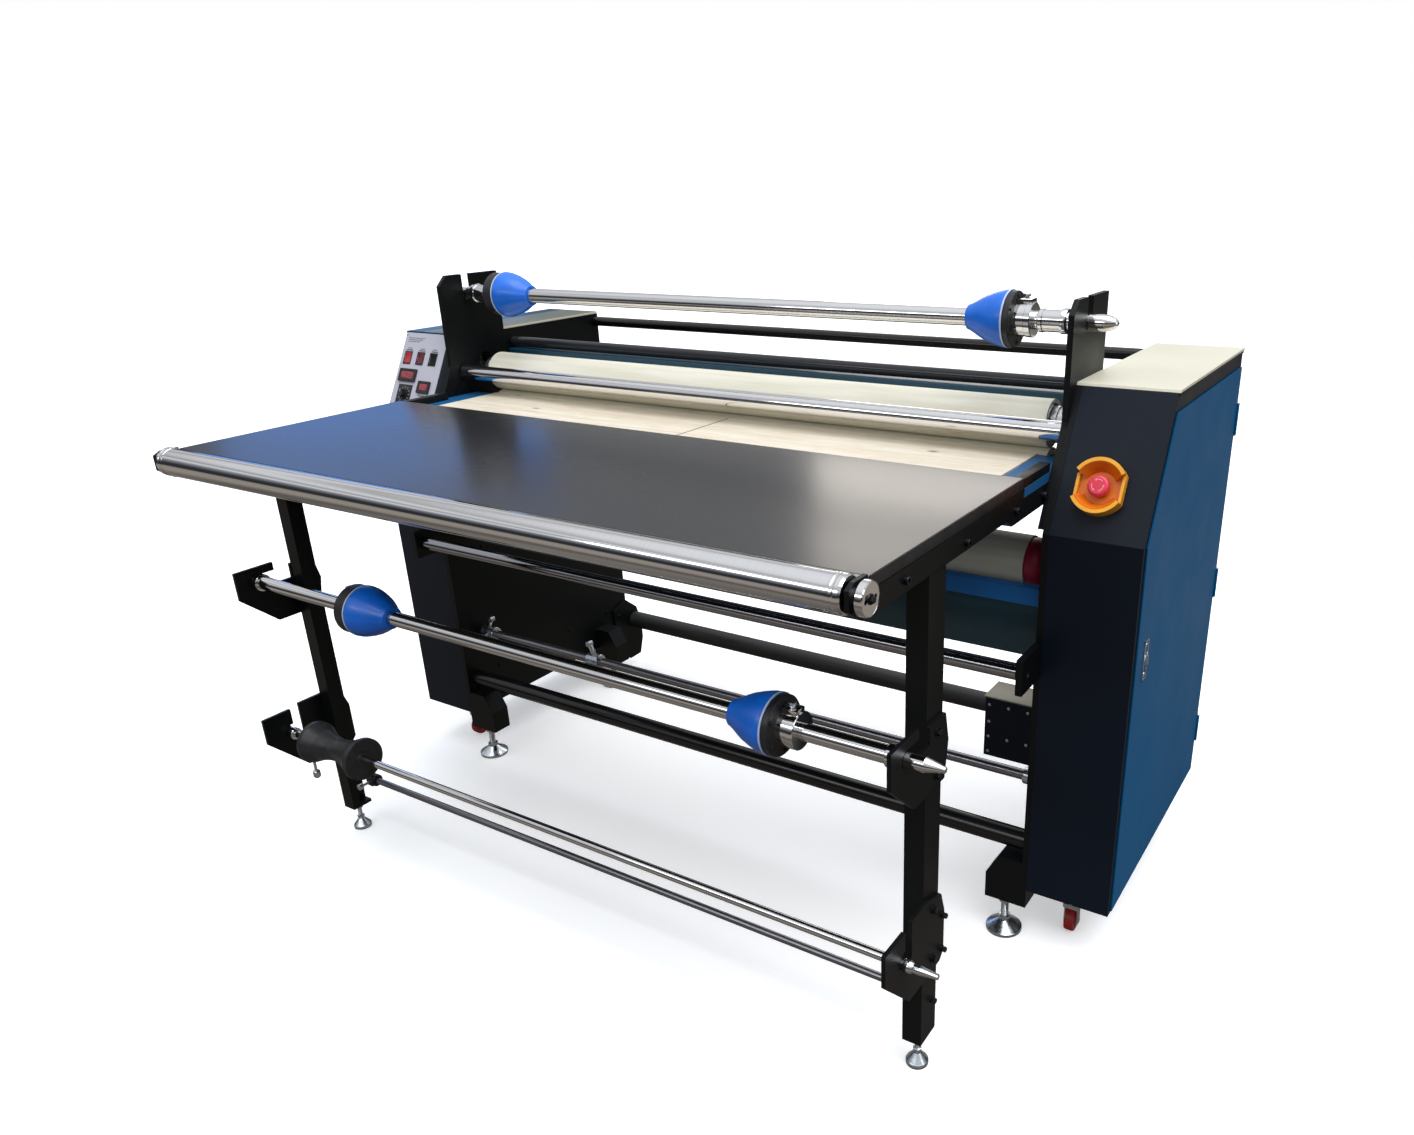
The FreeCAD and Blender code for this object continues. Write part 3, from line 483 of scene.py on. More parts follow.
def prism(bm, outline, low, high, place):
    """Straight-sided plate from a flat outline."""
    bottom = [bm.verts.new(place @ Vector((x, s, low))) for x, s in outline]
    top = [bm.verts.new(place @ Vector((x, s, high))) for x, s in outline]
    bm.faces.new(bottom)
    bm.faces.new(top)
    for k in range(len(outline)):
        after = (k + 1) % len(outline)
        bm.faces.new([bottom[k], bottom[after], top[after], top[k]])


def hex_bolt(bm, origin, axis, radius, height):
    washer = radius * 1.35
    lathe(bm, origin, axis, [(0.0, 0.0), (0.0, washer), (1.4, washer), (1.4, 0.0)], 24)
    head = [(1.4, 0.0), (1.4, radius), (height * 0.82, radius), (height, radius * 0.84), (height, 0.0)]
    lathe(bm, origin, axis, head, 6)


def cap_screw(bm, origin, axis, radius, height):
    head = [
        (0.0, 0.0), (0.0, radius), (height * 0.86, radius), (height, radius * 0.9),
        (height, radius * 0.52), (height * 0.4, radius * 0.5), (height * 0.4, 0.0),
    ]
    lathe(bm, origin, axis, head, 24)


def link(obj):
    bpy.context.scene.collection.objects.link(obj)


def piece(name, bm, material, body="frame", smooth=32.0):
    bmesh.ops.recalc_face_normals(bm, faces=bm.faces)
    mesh = bpy.data.meshes.new(name)
    bm.to_mesh(mesh)
    bm.free()
    mesh.shade_smooth()
    mesh.set_sharp_from_angle(angle=radians(smooth))
    mesh.materials.append(material)
    obj = bpy.data.objects.new(name, mesh)
    link(obj)
    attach(obj, body)
    return obj


# -------------------- cabinets

REAR_FACE = 697.5
INNER_FACE = 868.2
DOOR_FACE = 1066.0


def cabinet_details():
    screws = bmesh.new()
    for sign in SIGNS:
        for x in (900.0, 971.0, 1042.0):
            for z in (180.0, 560.0, 1160.0):
                cap_screw(screws, (sign * x, REAR_FACE, z), (0, 1, 0), 5.0, 3.0)
        for y in (120.0, 260.0, 420.0, 600.0):
            for z in (240.0, 620.0):
                cap_screw(screws, (sign * INNER_FACE, y, z), (-sign, 0, 0), 5.5, 3.6)
    piece("cabinet_screws", screws, BLACK_STEEL)

    hoods = bmesh.new()
    tilt = Matrix.Rotation(radians(-28.0), 4, "X")
    for sign in SIGNS:
        for row in range(7):
            centre = (sign * 973.0, REAR_FACE + 2.1, 368.0 + 16.0 * row)
            bar(hoods, centre, (65.0, 2.5, 0.6), 0.3, FRAME, tilt)
    piece("vent_hoods", hoods, BLACK)

    trim = bmesh.new()
    low, high = 1208.6, 1213.6
    front = FACET_FOOT[1] + FACET_RUN * (high - FACET_FOOT[2]) / FACET_RISE + 1.0
    for sign in SIGNS:
        block(trim, (sign * 1062.6, front, low), (sign * 1064.6, 696.0, high), 0.5)
    piece("cap_trim", trim, FRAME_BLACK)

    # Olive grey sheet over the left cap's cream: painted shade.
    sheet = bmesh.new()
    block(sheet, (-1006.0, 141.0, 1219.9), (-869.0, 696.0, 1221.0), 0.4)
    piece("left_cap_shade_sheet", sheet, LEFT_CAP_SHADE)
    # Blue strips along the left cap's outer and front edges: painted blue reflection on the cream cap.
    lip = bmesh.new()
    block(lip, (-1065.0, 139.2, 1216.0), (-1005.6, 696.0, 1221.2), 0.5)
    block(lip, (-1065.0, 136.0, 1213.0), (-869.0, 142.0, 1221.2), 0.5)
    piece("left_cap_reflection_lip", lip, BEAM_BLUE)


def door_details():
    """Latch plate and rim on each door, and the rubber strips that it closes against."""
    for sign, side in SIDES:
        body = side + "_door_body"
        plate = bmesh.new()
        block(plate, (sign * DOOR_FACE, 60.0, 662.0), (sign * (DOOR_FACE + 0.4), 84.0, 743.0), 0.1)
        piece(side + "_latch_plate", plate, BEAM_BLUE, body)
        rim = bmesh.new()
        for y0, y1, z0, z1 in border(58.5, 85.5, 660.0, 745.0, 3.0, 3.0):
            block(rim, (sign * DOOR_FACE, y0, z0), (sign * (DOOR_FACE + 1.8), y1, z1), 0.5)
        for z in (671.0, 735.0):
            rivet = [(0, 0), (0, 4.4), (1.2, 4.0), (1.9, 0)]
            lathe(rim, (sign * (DOOR_FACE + 0.2), 72.0, z), (sign, 0, 0), rivet, 20)
        piece(side + "_latch_rim", rim, ZINC, body)
        seal = bmesh.new()
        for y, top in ((20.0, 940.0), (678.0, 1160.0)):
            block(seal, (sign * 1058.0, y, 150.0), (sign * 1062.8, y + 4.0, top), 0.8)
        piece(side + "_door_seal", seal, BLACK_PLASTIC)


def hinge_caps():
    """Knuckle ends of the door hinges."""
    end = [(0, 0), (0, 4.2), (2.4, 4.0), (4.0, 2.2), (4.0, 0)]
    for sign, side in SIDES:
        caps = bmesh.new()
        for z in (260.0, 660.0, 1060.0):
            for way in SIGNS:
                lathe(caps, (sign * 1067.0, 693.0, z + way * 35.0), (0, 0, way), end, 20)
        piece(side + "_hinge_caps", caps, ZINC, side + "_door_body")


# -------------------- controls

ROCKER_X, ROCKER_S = (-1033.0, -982.0, -931.0), 226.0
KNOB_X, KNOB_S = -1012.0, 122.0
STOP_X, STOP_S = 960.0, 101.0
PRINT_LOW = 1.9


def panel_print():
    """Plain bars in place of words, and a dial round the knob."""
    ink = bmesh.new()
    for x in ROCKER_X:
        block(ink, (x - 13, 246.5, PRINT_LOW), (x + 13, 249.5, 2.25), 0.05, FACET)
        block(ink, (x - 9, 252.5, PRINT_LOW), (x + 9, 254.5, 2.25), 0.05, FACET)
    for row in range(3):
        s = 272.0 + 5.0 * row
        block(ink, (-1048.0, s, PRINT_LOW), (-1000.0 + 9.0 * row, s + 1.6, 2.2), 0.05, FACET)
    block(ink, (-954.0, 120.8, PRINT_LOW), (-922.0, 123.2, 2.2), 0.05, FACET)
    piece("panel_print", ink, INK)

    backing = bmesh.new()
    block(backing, (-1041.0, 92.0, 1.7), (-984.0, 150.0, 2.4), 0.3, FACET)
    piece("knob_backing", backing, BLACK_PLASTIC)
    dial = bmesh.new()
    for mark in range(11):
        angle = radians(-150.0 + 30.0 * mark)
        centre = (KNOB_X + 20.0 * sin(angle), KNOB_S + 20.0 * cos(angle), 2.5)
        bar(dial, centre, (0.6, 2.4, 0.15), 0.05, FACET, Matrix.Rotation(-angle, 4, "Z"))
    piece("knob_dial_marks", dial, OVERLAY)


def panel_fittings():
    bezels = bmesh.new()
    for x in ROCKER_X:
        for x0, x1, s0, s1 in border(x - 15.0, x + 15.0, ROCKER_S - 18.5, ROCKER_S + 18.5, 3.1, 3.2):
            block(bezels, (x0, s0, 1.8), (x1, s1, 3.4), 0.5, FACET)
    piece("rocker_bezels", bezels, BLACK_PLASTIC)

    glass = bmesh.new()
    for x, s, w, h in ((-1013.0, 176.0, 66.0, 36.0), (-938.0, 146.0, 46.0, 34.0)):
        low = (x - w / 2 + 9.0, s - h / 2 + 7.5, 6.45)
        block(glass, low, (x + w / 2 - 7.0, s + h / 2 - 7.5, 7.2), 0.2, FACET)
    piece("display_windows", glass, GLASS_RED)

    digits = bmesh.new()
    for x, s, count, step in ((-1012.0, 176.0, 4, 11.4), (-937.0, 146.0, 3, 9.6)):
        for index in range(count):
            middle = x + (index - (count - 1) / 2.0) * step
            for rise in (-7.0, 0.0, 7.0):
                bar(digits, (middle, s + rise, 7.275), (2.6, 0.6, 0.125), 0.05, FACET)
            for aside in (-3.4, 3.4):
                for rise in (-3.5, 3.5):
                    bar(digits, (middle + aside, s + rise, 7.275), (0.6, 2.6, 0.125), 0.05, FACET)
    piece("display_digits", digits, SEGMENT)

    screws = bmesh.new()
    head = [(0, 0), (0, 3.6), (1.2, 3.2), (1.8, 1.4), (1.2, 0)]
    for x in (-1056.0, -898.0):
        for s in (28.0, 292.0):
            lathe(screws, (x, s, 2.0), (0, 0, 1), head, 20, FACET)
    piece("panel_screws", screws, ZINC)


def knob_details():
    ribs = bmesh.new()
    for step in range(24):
        angle = 2.0 * pi * step / 24
        centre = (KNOB_X + 10.1 * cos(angle), KNOB_S + 10.1 * sin(angle), 11.5)
        bar(ribs, centre, (0.5, 0.7, 5.0), 0.2, FACET, Matrix.Rotation(angle, 4, "Z"))
    piece("knob_ribs", ribs, BLACK_PLASTIC, "knob_body")
    line = bmesh.new()
    block(line, (KNOB_X - 0.7, KNOB_S + 2.0, 17.5), (KNOB_X + 0.7, KNOB_S + 11.0, 17.9), 0.1, FACET)
    piece("knob_line", line, OVERLAY, "knob_body")


def estop_guard():
    """Guard with two high walls, two low flat sides and a sloping bowl inside."""
    middle = (STOP_X, STOP_S, 0.0)
    rim, flat = 53.5, 46.0
    shell = bmesh.new()
    base = []
    for step in range(72):
        angle = 2.0 * pi * step / 72
        x = max(-flat, min(flat, rim * cos(angle)))
        base.append((STOP_X + x, STOP_S + rim * sin(angle)))
    prism(shell, base, 0.2, 5.0, FACET)
    wall = ((46.4, 4.8), (rim, 4.8), (rim, 29.6), (46.4, 29.6))
    for start in (31.0, 211.0):
        arc_bar(shell, middle, wall, start, start + 118.0, FACET, 24)
    for way, reach in ((-1.0, 22.0), (1.0, 27.0)):
        inner = (STOP_X + way * 40.0, STOP_S - reach, 4.6)
        block(shell, inner, (STOP_X + way * flat, STOP_S + reach, 17.0), 1.2, FACET)
    guard = piece("estop_guard_shell", shell, AMBER)
    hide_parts("estop_guard")

    # The bowl inside the guard walls takes the darker amber as painted shade.
    bowl = bmesh.new()
    slope = ((46.6, 27.5), (45.0, 28.6), (31.0, 8.0), (30.0, 5.2), (46.6, 5.2))
    for start in (30.0, 210.0):
        arc_bar(bowl, middle, slope, start, start + 120.0, FACET, 16)
    disc = [(5.0, 14.6), (5.0, 39.5), (6.2, 39.5), (6.2, 14.6)]
    lathe(bowl, middle, (0, 0, 1), disc, 56, FACET, closed=True)
    piece("estop_guard_bowl", bowl, AMBER_SHADE)


def estop_button():
    middle = (STOP_X, STOP_S, 0.0)
    low, high = 27.6, 28.4
    marks = bmesh.new()
    band = ((10.4, low), (12.0, low), (12.0, high), (10.4, high))
    for turn in (90.0, 210.0, 330.0):
        arc_bar(marks, middle, band, turn - 42, turn + 22, FACET)
        tip = []
        for r, degrees in ((8.4, turn + 22), (14.0, turn + 22), (11.2, turn + 38)):
            angle = radians(degrees)
            tip.append((STOP_X + r * cos(angle), STOP_S + r * sin(angle)))
        prism(marks, tip, low, high, FACET)
    piece("estop_arrows", marks, STOP_MARK, "estop_body")
    crown = bmesh.new()
    dome = [(23.5, 20.2), (25.0, 19.8), (26.8, 18.4), (27.9, 16.0), (28.1, 13.4), (28.1, 0.0)]
    lathe(crown, middle, (0, 0, 1), dome, 48, FACET)
    lathe(crown, middle, (0, 0, 1), [(14.5, 19.6), (15.5, 20.6), (22.0, 20.8), (23.5, 20.2)], 48, FACET)
    piece("estop_crown", crown, STOP_RED, "estop_body")
    # The collar under the button also takes the painted shade amber.
    neck = bmesh.new()
    profile = [(4.8, 17.0), (8.2, 17.0), (9.2, 16.0), (9.2, 11.2), (4.8, 11.2)]
    lathe(neck, middle, (0, 0, 1), profile, 40, FACET, closed=True)
    piece("estop_collar", neck, AMBER_SHADE)


# -------------------- rollers and shafts

def roller_details():
    hubs = bmesh.new()
    cup = [
        (797.3, 20.4), (797.3, 51.0), (806.0, 52.5), (822.0, 50.0), (838.0, 40.0),
        (846.0, 24.0), (846.0, 20.4),
    ]
    for sign in SIGNS:
        lathe(hubs, AUX_AXIS, (sign, 0, 0), cup, 48, closed=True)
    piece("aux_end_hubs", hubs, HUB_RED, "aux_roller_body")

    ring = [
        (798.0, 31.2), (798.0, 36.0), (800.0, 37.0), (812.0, 37.0), (814.0, 34.0),
        (816.0, 34.0), (817.0, 36.0), (828.0, 36.0), (829.5, 31.2),
    ]
    for name, (x, y, z) in (("upper", UPPER_AXIS), ("lower", LOWER_AXIS)):
        collars = bmesh.new()
        for sign in SIGNS:
            lathe(collars, (x, y, z), (sign, 0, 0), ring, 44, closed=True)
            for turn in (30.0, 150.0, 270.0):
                out = (0.0, cos(radians(turn)), sin(radians(turn)))
                cap_screw(collars, (sign * 806.0, y + 36.0 * out[1], z + 36.0 * out[2]), out, 3.4, 3.6)
        piece(name + "_roller_collars", collars, STEEL, name + "_roller")

    ends = bmesh.new()
    rim = [
        (818.0, 30.0), (818.5, 30.6), (823.0, 30.8), (824.0, 30.2), (829.0, 30.2),
        (830.0, 30.8), (837.0, 30.6), (840.5, 28.0), (842.5, 22.0), (842.5, 12.0),
    ]
    for sign in SIGNS:
        lathe(ends, FRONT_AXIS, (sign, 0, 0), rim, 64)
    disc = [(855.0, 12.6), (861.5, 13.2), (862.0, 25.0), (863.5, 27.0), (873.0, 27.0), (874.6, 25.0)]
    lathe(ends, FRONT_AXIS, (1, 0, 0), disc, 56)
    piece("front_roller_rims", ends, CHROME, "front_roller_body")
    nut = bmesh.new()
    hex_bolt(nut, (874.0, *FRONT_AXIS[1:]), (1, 0, 0), 6.0, 6.5)
    piece("front_roller_nuts", nut, BLACK_STEEL, "front_roller_body")

    screws = bmesh.new()
    for sign in SIGNS:
        for z in (1140.0, 1112.0):
            cap_screw(screws, (sign * 700.0, 317.8, z), (0, -1, 0), 4.5, 3.5)
    piece("beam_screws", screws, ZINC)


# Shaft name, axis, tip of the left and of the right cone, shaft radius.
CONE_SHAFTS = (
    ("top", TOP_AXIS, -616.0, 616.0, 18.0),
    ("mid", MID_AXIS, -372.0, 527.0, 16.0),
)
CONE_LENGTH = 92.0
CLAMP_END = 49.0


def cone_skin(name, body, axis, tip, radius):
    way, reach = copysign(1.0, tip), abs(tip)
    outer = [
        (0.0, radius + 0.5), (0.0, 23.5), (1.2, 25.0), (6.0, 26.6), (16.0, 31.4), (27.6, 38.2),
        (40.0, 44.2), (57.0, 50.4), (70.0, 54.0), (79.1, 56.0), (89.0, 56.4),
        (CONE_LENGTH, 55.6), (CONE_LENGTH, radius + 0.5),
    ]
    skin = bmesh.new()
    lathe(skin, axis, (way, 0, 0), [(reach + t, r) for t, r in outer], 72, closed=True)
    cone = piece(name + "_cone_skin", skin, CONE_BLUE, body, smooth=50.0)
    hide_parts(name + "_cone")
    ring = bmesh.new()
    band = [(-3.4, 55.0), (-3.4, 56.8), (-0.2, 56.9), (-0.2, 55.0)]
    lathe(ring, axis, (way, 0, 0), [(reach + CONE_LENGTH + t, r) for t, r in band], 72, closed=True)
    piece(name + "_cone_ring", ring, CONE_RING, body)


def cone_clamp(name, body, axis, tip, radius, thick, metal):
    """Flange behind the cone, with the clamp that grips the shaft and its screw."""
    way, base = copysign(1.0, tip), abs(tip) + CONE_LENGTH
    y, z = axis[1:]
    bore = radius + 0.4
    rim = [
        (0.1, bore), (0.1, 53.5), (1.5, 54.8), (thick - 2.0, 54.8), (thick, 53.0),
        (thick + 0.2, 40.0), (thick + 1.6, 36.5), (thick + 1.6, bore),
    ]
    flange = bmesh.new()
    lathe(flange, axis, (way, 0, 0), [(base + t, r) for t, r in rim], 64, closed=True)
    for turn in range(6):
        angle = radians(60.0 * turn + 30.0)
        spot = (way * (base + thick - 0.2), y + 46.0 * cos(angle), z + 46.0 * sin(angle))
        cap_screw(flange, spot, (way, 0, 0), 3.6, 3.0)
    disc = piece(name + "_flange_disc", flange, BLACK_PLASTIC, body)
    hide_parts(name + "_hub")

    tube = [
        (thick + 1.7, bore), (thick + 1.7, 33.0), (36.0, 33.0), (37.0, 34.2), (48.0, 34.2),
        (CLAMP_END, 33.0), (CLAMP_END, bore),
    ]
    clamp = bmesh.new()
    lathe(clamp, axis, (way, 0, 0), [(base + t, r) for t, r in tube], 56, closed=True)
    inner = (way * (base + thick + 2.0), y - 13.0, z + 30.5)
    block(clamp, inner, (way * (base + CLAMP_END - 2.0), y + 13.0, z + 41.0), 1.6)
    piece(name + "_clamp", clamp, metal, body)
    head = [(0, 0), (0, 4.0), (3.0, 4.0), (3.5, 7.0), (8.0, 7.4), (9.0, 6.4), (9.0, 0)]
    screw = bmesh.new()
    lathe(screw, (way * (base + (thick + CLAMP_END) / 2.0), y, z + 41.0), (0, 0, 1), head, 12)
    piece(name + "_clamp_screw", screw, ZINC, body)


def cone_details():
    for shaft, axis, left_tip, right_tip, radius in CONE_SHAFTS:
        for side, tip, thick, metal in (
            ("left", left_tip, 33.0, BLACK_PLASTIC), ("right", right_tip, 13.0, CHROME),
        ):
            name = shaft + "_" + side
            cone_skin(name, name + "_holder", axis, tip, radius)
            cone_clamp(name, name + "_holder", axis, tip, radius, thick, metal)


def shaft_details():
    bush = bmesh.new()
    sleeve = [
        (768.0, 18.2), (768.0, 21.8), (770.0, 23.2), (777.0, 23.2), (778.5, 21.8), (813.0, 21.8),
        (814.5, 24.6), (824.0, 24.6), (826.0, 23.4), (827.0, 21.4), (827.0, 18.2),
    ]
    for sign in SIGNS:
        lathe(bush, TOP_AXIS, (sign, 0, 0), sleeve, 48, closed=True)
    piece("top_shaft_bushes", bush, CHROME, "top_unwind")
    nose = bmesh.new()
    bullet = [
        (868.0, 13.0), (868.0, 15.6), (869.2, 16.8), (896.0, 16.8), (908.0, 14.6), (918.0, 10.4),
        (924.0, 5.6), (926.0, 0.0),
    ]
    lathe(nose, TOP_AXIS, (1, 0, 0), bullet, 40)
    piece("top_shaft_nose", nose, CHROME, "top_unwind")

    collars = bmesh.new()
    for sign in SIGNS:
        collar(collars, MID_AXIS, (sign, 0, 0), (832.0, 843.0), 16.2, 20.4, (1.0, 1.0), 44)
    piece("mid_shaft_collars", collars, CHROME, "mid_unwind")
    stops = bmesh.new()
    cap = [(866.0, 9.2), (866.0, 12.0), (868.0, 13.0), (880.0, 12.0), (884.0, 9.2)]
    for sign in SIGNS:
        collar(stops, LINER_AXIS, (sign, 0, 0), (838.0, 851.0), 9.2, 15.0, (1.0, 1.0))
        lathe(stops, LINER_AXIS, (sign, 0, 0), cap, 40, closed=True)
    piece("liner_shaft_collars", stops, CHROME, "liner_unwind")

    rims = bmesh.new()
    for ends in ((-763.0, -751.0), (-588.0, -576.0)):
        collar(rims, LINER_AXIS, (1, 0, 0), ends, 40.0, 51.5, (1.2, 1.7), 64)
    for x, way in ((-577.0, 1.0), (-762.0, -1.0)):
        boss = [(0.0, 9.6), (0.0, 20.0), (2.5, 19.0), (2.5, 9.6)]
        lathe(rims, (x, *LINER_AXIS[1:]), (way, 0, 0), boss, 40, closed=True)
    piece("spool_rims", rims, BLACK_PLASTIC, "liner_spool")


# -------------------- frame, table, rods

ARM_FACE = 856.0
LEG_FACE = 863.0


def frame_bolts():
    """Screws in the table arms, post plates and rear brackets; bolts in the leg brackets."""
    bolts = bmesh.new()
    for sign in SIGNS:
        out, inward = (sign, 0, 0), (-sign, 0, 0)
        for y, z in ((-337.0, 1034.0), (-558.0, 1041.0), (-120.0, 1030.0), (20.0, 1024.0)):
            cap_screw(bolts, (sign * ARM_FACE, y, z), out, 7.0, 7.0)
        for z in (735.0, 652.0, 372.0, 262.0):
            hex_bolt(bolts, (sign * LEG_FACE, -447.0, z), out, 7.0, 7.5)
        for z in (335.0, 258.0):
            hex_bolt(bolts, (sign * LEG_FACE, -409.0, z), out, 5.5, 10.0)
        hex_bolt(bolts, (sign * 855.0, -430.0, 149.0), out, 5.5, 10.0)
        for y, z in ((130.0, 1000.0), (270.0, 1000.0), (270.0, 1340.0)):
            cap_screw(bolts, (sign * ARM_FACE, y, z), inward, 6.0, 5.0)
        for z in (120.0, 210.0):
            cap_screw(bolts, (sign * 860.0, 650.0, z), inward, 6.0, 5.0)
    piece("frame_bolts", bolts, BLACK_STEEL)


def rod_fittings():
    """Clamps on the cross rod, the low rod's wing clamp and the thumb screws."""
    bright = bmesh.new()
    y, z = CROSS_ROD_AXIS[1:]
    eye = [(0, 4.0), (0, 8.0), (14, 8.0), (14, 4.0)]
    for x0, x1, lean in ((-852.0, -806.0, 34.0), (-442.0, -400.0, -24.0)):
        collar(bright, CROSS_ROD_AXIS, (1, 0, 0), (x0, x1), 12.2, 20.0, (1.5, 1.0), 36)
        middle = (x0 + x1) / 2.0
        tilt = Matrix.Rotation(radians(lean), 4, "Y")
        centre = Vector((middle, y - 4.0, z + 26.0))
        bar(bright, centre, (6.0, 4.0, 22.0), 1.5, FRAME, tilt)
        top = centre + tilt @ Vector((0, 0, 26.0))
        lathe(bright, top - Vector((0, 7, 0)), (0, 1, 0), eye, 24, closed=True)
        hex_bolt(bright, (middle, y - 19.5, z), (0, -1, 0), 5.5, 6.5)
    collar(bright, CROSS_ROD_AXIS, (1, 0, 0), (834.0, 853.0), 12.2, 19.0, (2.0, 1.0), 36)
    piece("rod_clamps", bright, ZINC)

    screws = bmesh.new()
    y, z = LOW_ROD_AXIS[1:]
    wing = [(0, 0), (0, 3.6), (26.0, 3.6), (27.0, 8.5), (36.0, 8.5), (37.0, 7.0), (37.0, 0)]
    thumb = [
        (0, 0), (0, 3.6), (26.0, 3.6), (27.0, 6.0), (30.0, 9.0), (44.0, 9.0), (48.0, 6.0), (48.0, 0),
    ]
    lathe(screws, (-740.0, y - 11.0, z), (0, -1, 0), wing, 20)
    lathe(screws, (-858.0, -527.0, 234.0), (0, 0, -1), thumb, 16)
    piece("thumb_screws", screws, ZINC)
    clamp = bmesh.new()
    collar(clamp, LOW_ROD_AXIS, (1, 0, 0), (-754.0, -726.0), 8.2, 15.5, (2.0, 1.5), 32)
    block(clamp, (-750.0, y - 15.0, z - 12.0), (-730.0, y, z + 12.0), 2.0)
    piece("low_rod_clamp", clamp, BLACK_STEEL)


def drive_box_details():
    # The lid is beige paint darkened with painted shade.
    lid = bmesh.new()
    block(lid, (658.0, 251.0, 443.2), (867.6, 340.0, 447.0), 1.2)
    piece("drive_box_lid", lid, SHADED_BEIGE)
    screws = bmesh.new()
    head = [(0, 0), (0, 4.2), (1.4, 3.8), (2.2, 1.6), (1.6, 0)]
    for x in (672.0, 720.0, 768.0, 816.0):
        for z in (300.0, 340.0, 380.0, 425.0):
            if x in (672.0, 816.0) or z in (340.0, 425.0):
                lathe(screws, (x, 254.0, z), (0, -1, 0), head, 18)
    piece("drive_box_screws", screws, ZINC)


def table_details():
    """Metal front edge, side edges, the arms' dark top bars and the seam between the boards."""
    edge = bmesh.new()
    block(edge, (-853.0, -665.6, 1061.0), (853.0, -663.6, 1081.2), 0.6)
    piece("table_front_edge", edge, STEEL)
    side_edge = bmesh.new()
    for sign in SIGNS:
        block(side_edge, (sign * 853.6, -663.0, 1061.0), (sign * 855.0, -86.0, 1081.4), 0.5)
    piece("table_side_edges", side_edge, BLACK_PLASTIC)
    corners = bmesh.new()
    for sign in SIGNS:
        block(corners, (sign * 833.0, -85.5, 1056.0), (sign * 855.0, 52.0, 1080.0), 1.0)
    piece("table_corner_bars", corners, FRAME_BLACK)
    seam = bmesh.new()
    block(seam, (4.0, -79.0, 1051.0), (6.0, 175.0, 1064.1), 0.0)
    block(seam, (3.2, -79.0, 1063.6), (6.8, 175.0, 1064.15), 0.1)
    piece("board_seam", seam, BLACK_PLASTIC)


def foot_threads():
    """Thread, pad and lock nut of each levelling foot."""
    cabinet_feet = [(826.0, y, 8.0, 84.0, 40.0) for y in (14.0, 560.0)]
    leg_foot = [(835.0, -447.0, 5.0, 68.0, 22.0)]
    low, pitch, up = 27.0, 2.0, (0, 0, 1)
    feet = bmesh.new()
    for sign in SIGNS:
        for x, y, radius, high, pad in cabinet_feet + leg_foot:
            spot = (sign * x, y, 0.0)
            thread = []
            for turn in range(int((high - low) / pitch)):
                start = low + pitch * turn
                thread += [(start, radius * 0.94), (start + pitch / 2.0, radius * 1.06)]
            lathe(feet, spot, up, thread, 24)
            disc = ((0.2, 0.98), (2.0, 1.01), (7.6, 1.01), (9.4, 0.96), (12.0, 0.80))
            lathe(feet, spot, up, [(height, pad * share) for height, share in disc], 48)
            wide, slim = radius * 1.8, radius * 1.5
            nut = [(low + 2.0, 0), (low + 2.0, wide), (low + 9.0, wide), (low + 10.0, slim), (low + 10.0, 0)]
            lathe(feet, spot, up, nut, 6)
    piece("foot_threads", feet, ZINC)


def wheel_hubs():
    face = [(10.0, 4.6), (10.0, 15.0), (11.4, 14.0), (11.8, 9.0), (12.4, 8.0), (12.4, 4.6)]
    tread = [(-8.0, 27.2), (-6.0, 27.6), (6.0, 27.6), (8.0, 27.2)]
    for sign, side in SIDES:
        for y, end in ((85.0, "front"), (610.0, "rear")):
            hub = bmesh.new()
            spot = (sign * 960.0, y, 28.0)
            for way in SIGNS:
                lathe(hub, spot, (way, 0, 0), face, 36, closed=True)
            lathe(hub, spot, (1, 0, 0), tread, 48)
            body = "wheel_" + side[0] + end[0]
            piece(side + "_" + end + "_wheel_hub", hub, WHEEL_RED, body)


# -------------------- inside the cabinets

CHAIN_X, CHAIN_PITCH = 938.0, 12.7
ROLLER_SPROCKET, MOTOR_SPROCKET = 48.3, 38.3


def ray(angle):
    return Vector((cos(angle), sin(angle)))


def chain_path():
    """Points a pitch apart round the two sprockets, each as (y, z)."""
    first, r1 = Vector(LOWER_AXIS[1:]), ROLLER_SPROCKET
    second, r2 = Vector(MOTOR_AXIS[1:]), MOTOR_SPROCKET
    gap = second - first
    base = atan2(gap.y, gap.x)
    lean = acos((r1 - r2) / gap.length)
    run = sqrt(gap.length ** 2 - (r1 - r2) ** 2)
    arc1, arc2 = 2.0 * (pi - lean) * r1, 2.0 * lean * r2
    total = arc1 + arc2 + 2.0 * run
    count = int(round(total / CHAIN_PITCH / 2.0)) * 2
    points = []
    for index in range(count):
        s = total * index / count
        if s < arc1:
            points.append(first + r1 * ray(base + lean + s / r1))
        elif s < arc1 + run:
            away = ray(base - lean + pi / 2) * (s - arc1)
            points.append(first + r1 * ray(base - lean) + away)
        elif s < arc1 + run + arc2:
            points.append(second + r2 * ray(base - lean + (s - arc1 - run) / r2))
        else:
            back = ray(base + lean + pi / 2) * (s - arc1 - run - arc2)
            points.append(second + r2 * ray(base + lean) + back)
    return points


